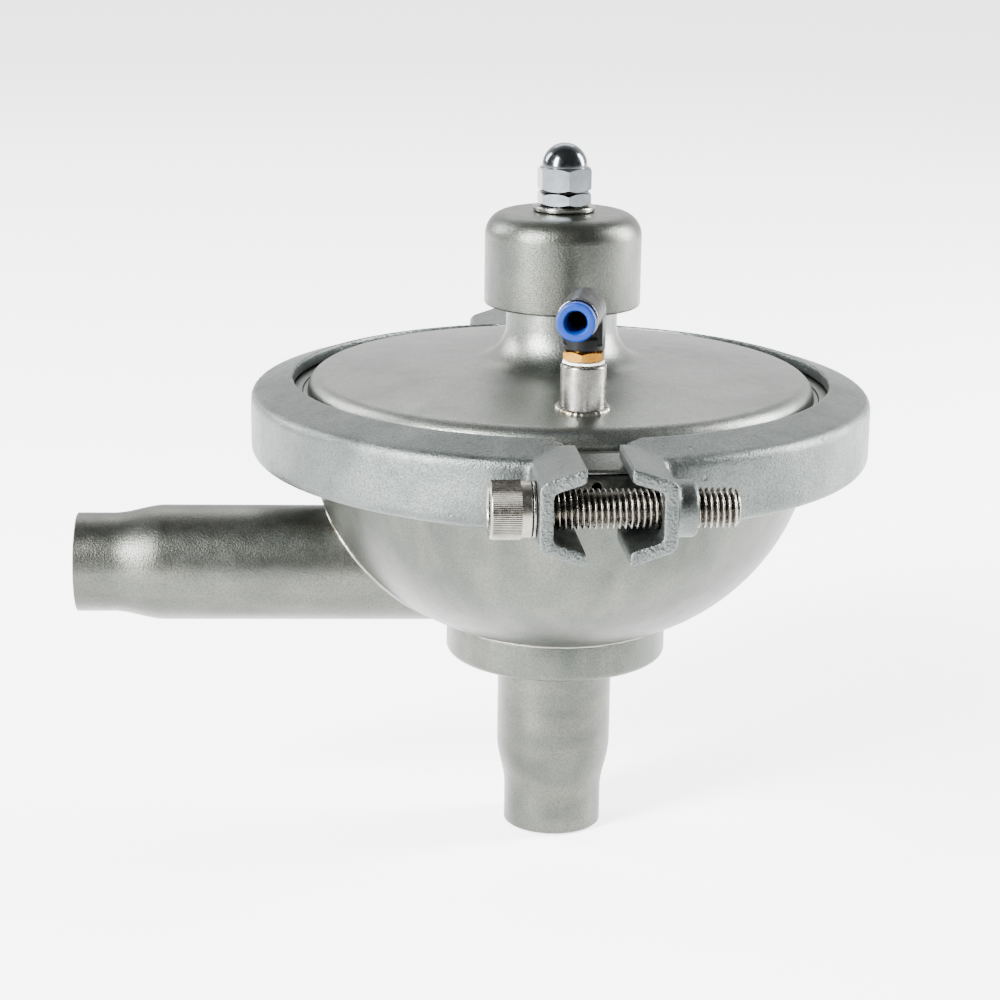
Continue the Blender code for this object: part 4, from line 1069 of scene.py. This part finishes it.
spring_tree, given = new_tree("coil_spring", ("Turns", "Float"), ("Coil Radius", "Float"),
                              ("Height", "Float"), ("Wire", "Float"))
radius = given["Coil Radius"]
links = {"Resolution": 32, "Rotations": given["Turns"], "Start Radius": radius, "End Radius": radius,
         "Height": given["Height"]}
spiral = geo(spring_tree, "CurveSpiral", links)
links = {"Resolution": 12, "Radius": given["Wire"]}
section = geo(spring_tree, "CurvePrimitiveCircle", links)
links = {"Curve": spiral.outputs[0], "Profile Curve": section.outputs[0], "Fill Caps": True}
coil = geo(spring_tree, "CurveToMesh", links)
end_tree(spring_tree, given, coil.outputs[0])
WIRE_R = 0.6
ENDS_MM = 2.2
low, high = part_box("bias_spring")
values = {"Turns": 4.0, "Coil_Radius": 10.5 * MM, "Height": high.z - low.z - ENDS_MM * MM,
          "Wire": WIRE_R * MM, "Material": formed_steel}
coil_mesh = facing_out(run_tree(spring_tree, empty, **values))
coil_mesh.transform(Matrix.Translation((0, 0, low.z + WIRE_R * MM)))
spring = finished("bias_coil", coil_mesh, formed_steel, "housing", "dark_steel", "bias_spring",
                  sharp=60.0)
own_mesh(spring)

# %% Finishes for the hidden CAD nodes
inner_finishes = {
    turned_steel: ("seat_ring", "seal_retainer", "stem", "plug", "lower_disc", "upper_disc",
                   "diaphragm_nut", "stem_collar", "spring_seat"),
    formed_steel: ("spindle",),
    black_rubber: ("seat_oring", "stem_seal", "swivel_seal", "tube_seal"),
    bush_polymer: ("guide_bush",),
}
for material, names in inner_finishes.items():
    for name in names:
        for material_slot in nodes[name].material_slots:
            material_slot.material = material
print("finishes set on", sum(len(names) for names in inner_finishes.values()), "hidden nodes")

# %% [markdown]
# ## Floor and light
# A pale floor runs far past the view. One soft box stands in front on the left and one stands to
# the right, a little behind the valve, so that each round piece shows two soft bright bands with
# a darker one between them. A panel high behind lights the cover, and one at the left back lights
# the rims. The room is bright behind the valve and dark in front.

# %% Floor
# The floor glows softly, and less toward the front, so that the steel keeps a darker side. Its
# glow and the room's are each (start, end, value at the start, value at the end) along Y.
FLOOR_GLOW = (-1.4, -0.3, 0.8, 2.5)
ROOM_GLOW = (0.1, 0.85, 0.2, 1.9)
FLOOR_HALF = 9
FLOOR_Z = -0.0006
floor_material, tree, shader = metal_or_plastic("pale_studio_floor", 0.0, 0.6)
shader.inputs["Base Color"].default_value = colour("#F4F5F6")
shader.inputs["Emission Color"].default_value = colour("#FFFFFF")
_, depth, _ = axes(tree, node(tree, "ShaderNodeTexCoord").outputs["Object"])
tree.links.new(spread(tree, depth, *FLOOR_GLOW), shader.inputs["Emission Strength"])
floor_mesh = bpy.data.meshes.new("floor")
corners = [(x * FLOOR_HALF, y * FLOOR_HALF, FLOOR_Z) for x, y in ((-1, -1), (1, -1), (1, 1), (-1, 1))]
floor_mesh.from_pydata(corners, [], [(0, 1, 2, 3)])
floor_mesh.materials.append(floor_material)
floor = in_scene("floor", floor_mesh)

# %% Light
def soft_box(name, place, target, size, power):
    """A rectangular light that faces a point."""
    data = bpy.data.lights.new(name, "AREA")
    data.shape = "RECTANGLE"
    data.size, data.size_y = size
    data.energy = power
    lamp = in_scene(name, data)
    lamp.location = place
    lamp.rotation_euler = (Vector(target) - Vector(place)).to_track_quat("-Z", "Y").to_euler()


# Each light has a place and a target in metres, a width and height in metres and watts.
VALVE_MIDDLE = (0, 0, 0.13)
SOFT_BOXES = (
    ("left_box", (-1.1, -0.85, 0.75), VALVE_MIDDLE, (0.35, 1.1), 150),
    ("right_box", (1.5, 0.35, 0.7), VALVE_MIDDLE, (0.4, 1.1), 120),
    ("high_back", (0.0, 1.7, 1.7), (0, 0, 0.1), (1.8, 0.8), 20),
    ("left_back", (-1.7, 0.9, 1.0), VALVE_MIDDLE, (0.5, 1.0), 60),
)
for settings in SOFT_BOXES:
    soft_box(*settings)
world = bpy.data.worlds.new("studio")
bpy.context.scene.world = world
world.use_nodes = True
tree = world.node_tree
sky = tree.nodes["Background"]
sky.inputs["Color"].default_value = colour("#FFFFFF")
_, depth, _ = axes(tree, node(tree, "ShaderNodeTexCoord").outputs["Generated"])
tree.links.new(spread(tree, depth, *ROOM_GLOW), sky.inputs["Strength"])
print("lights:", len(SOFT_BOXES))
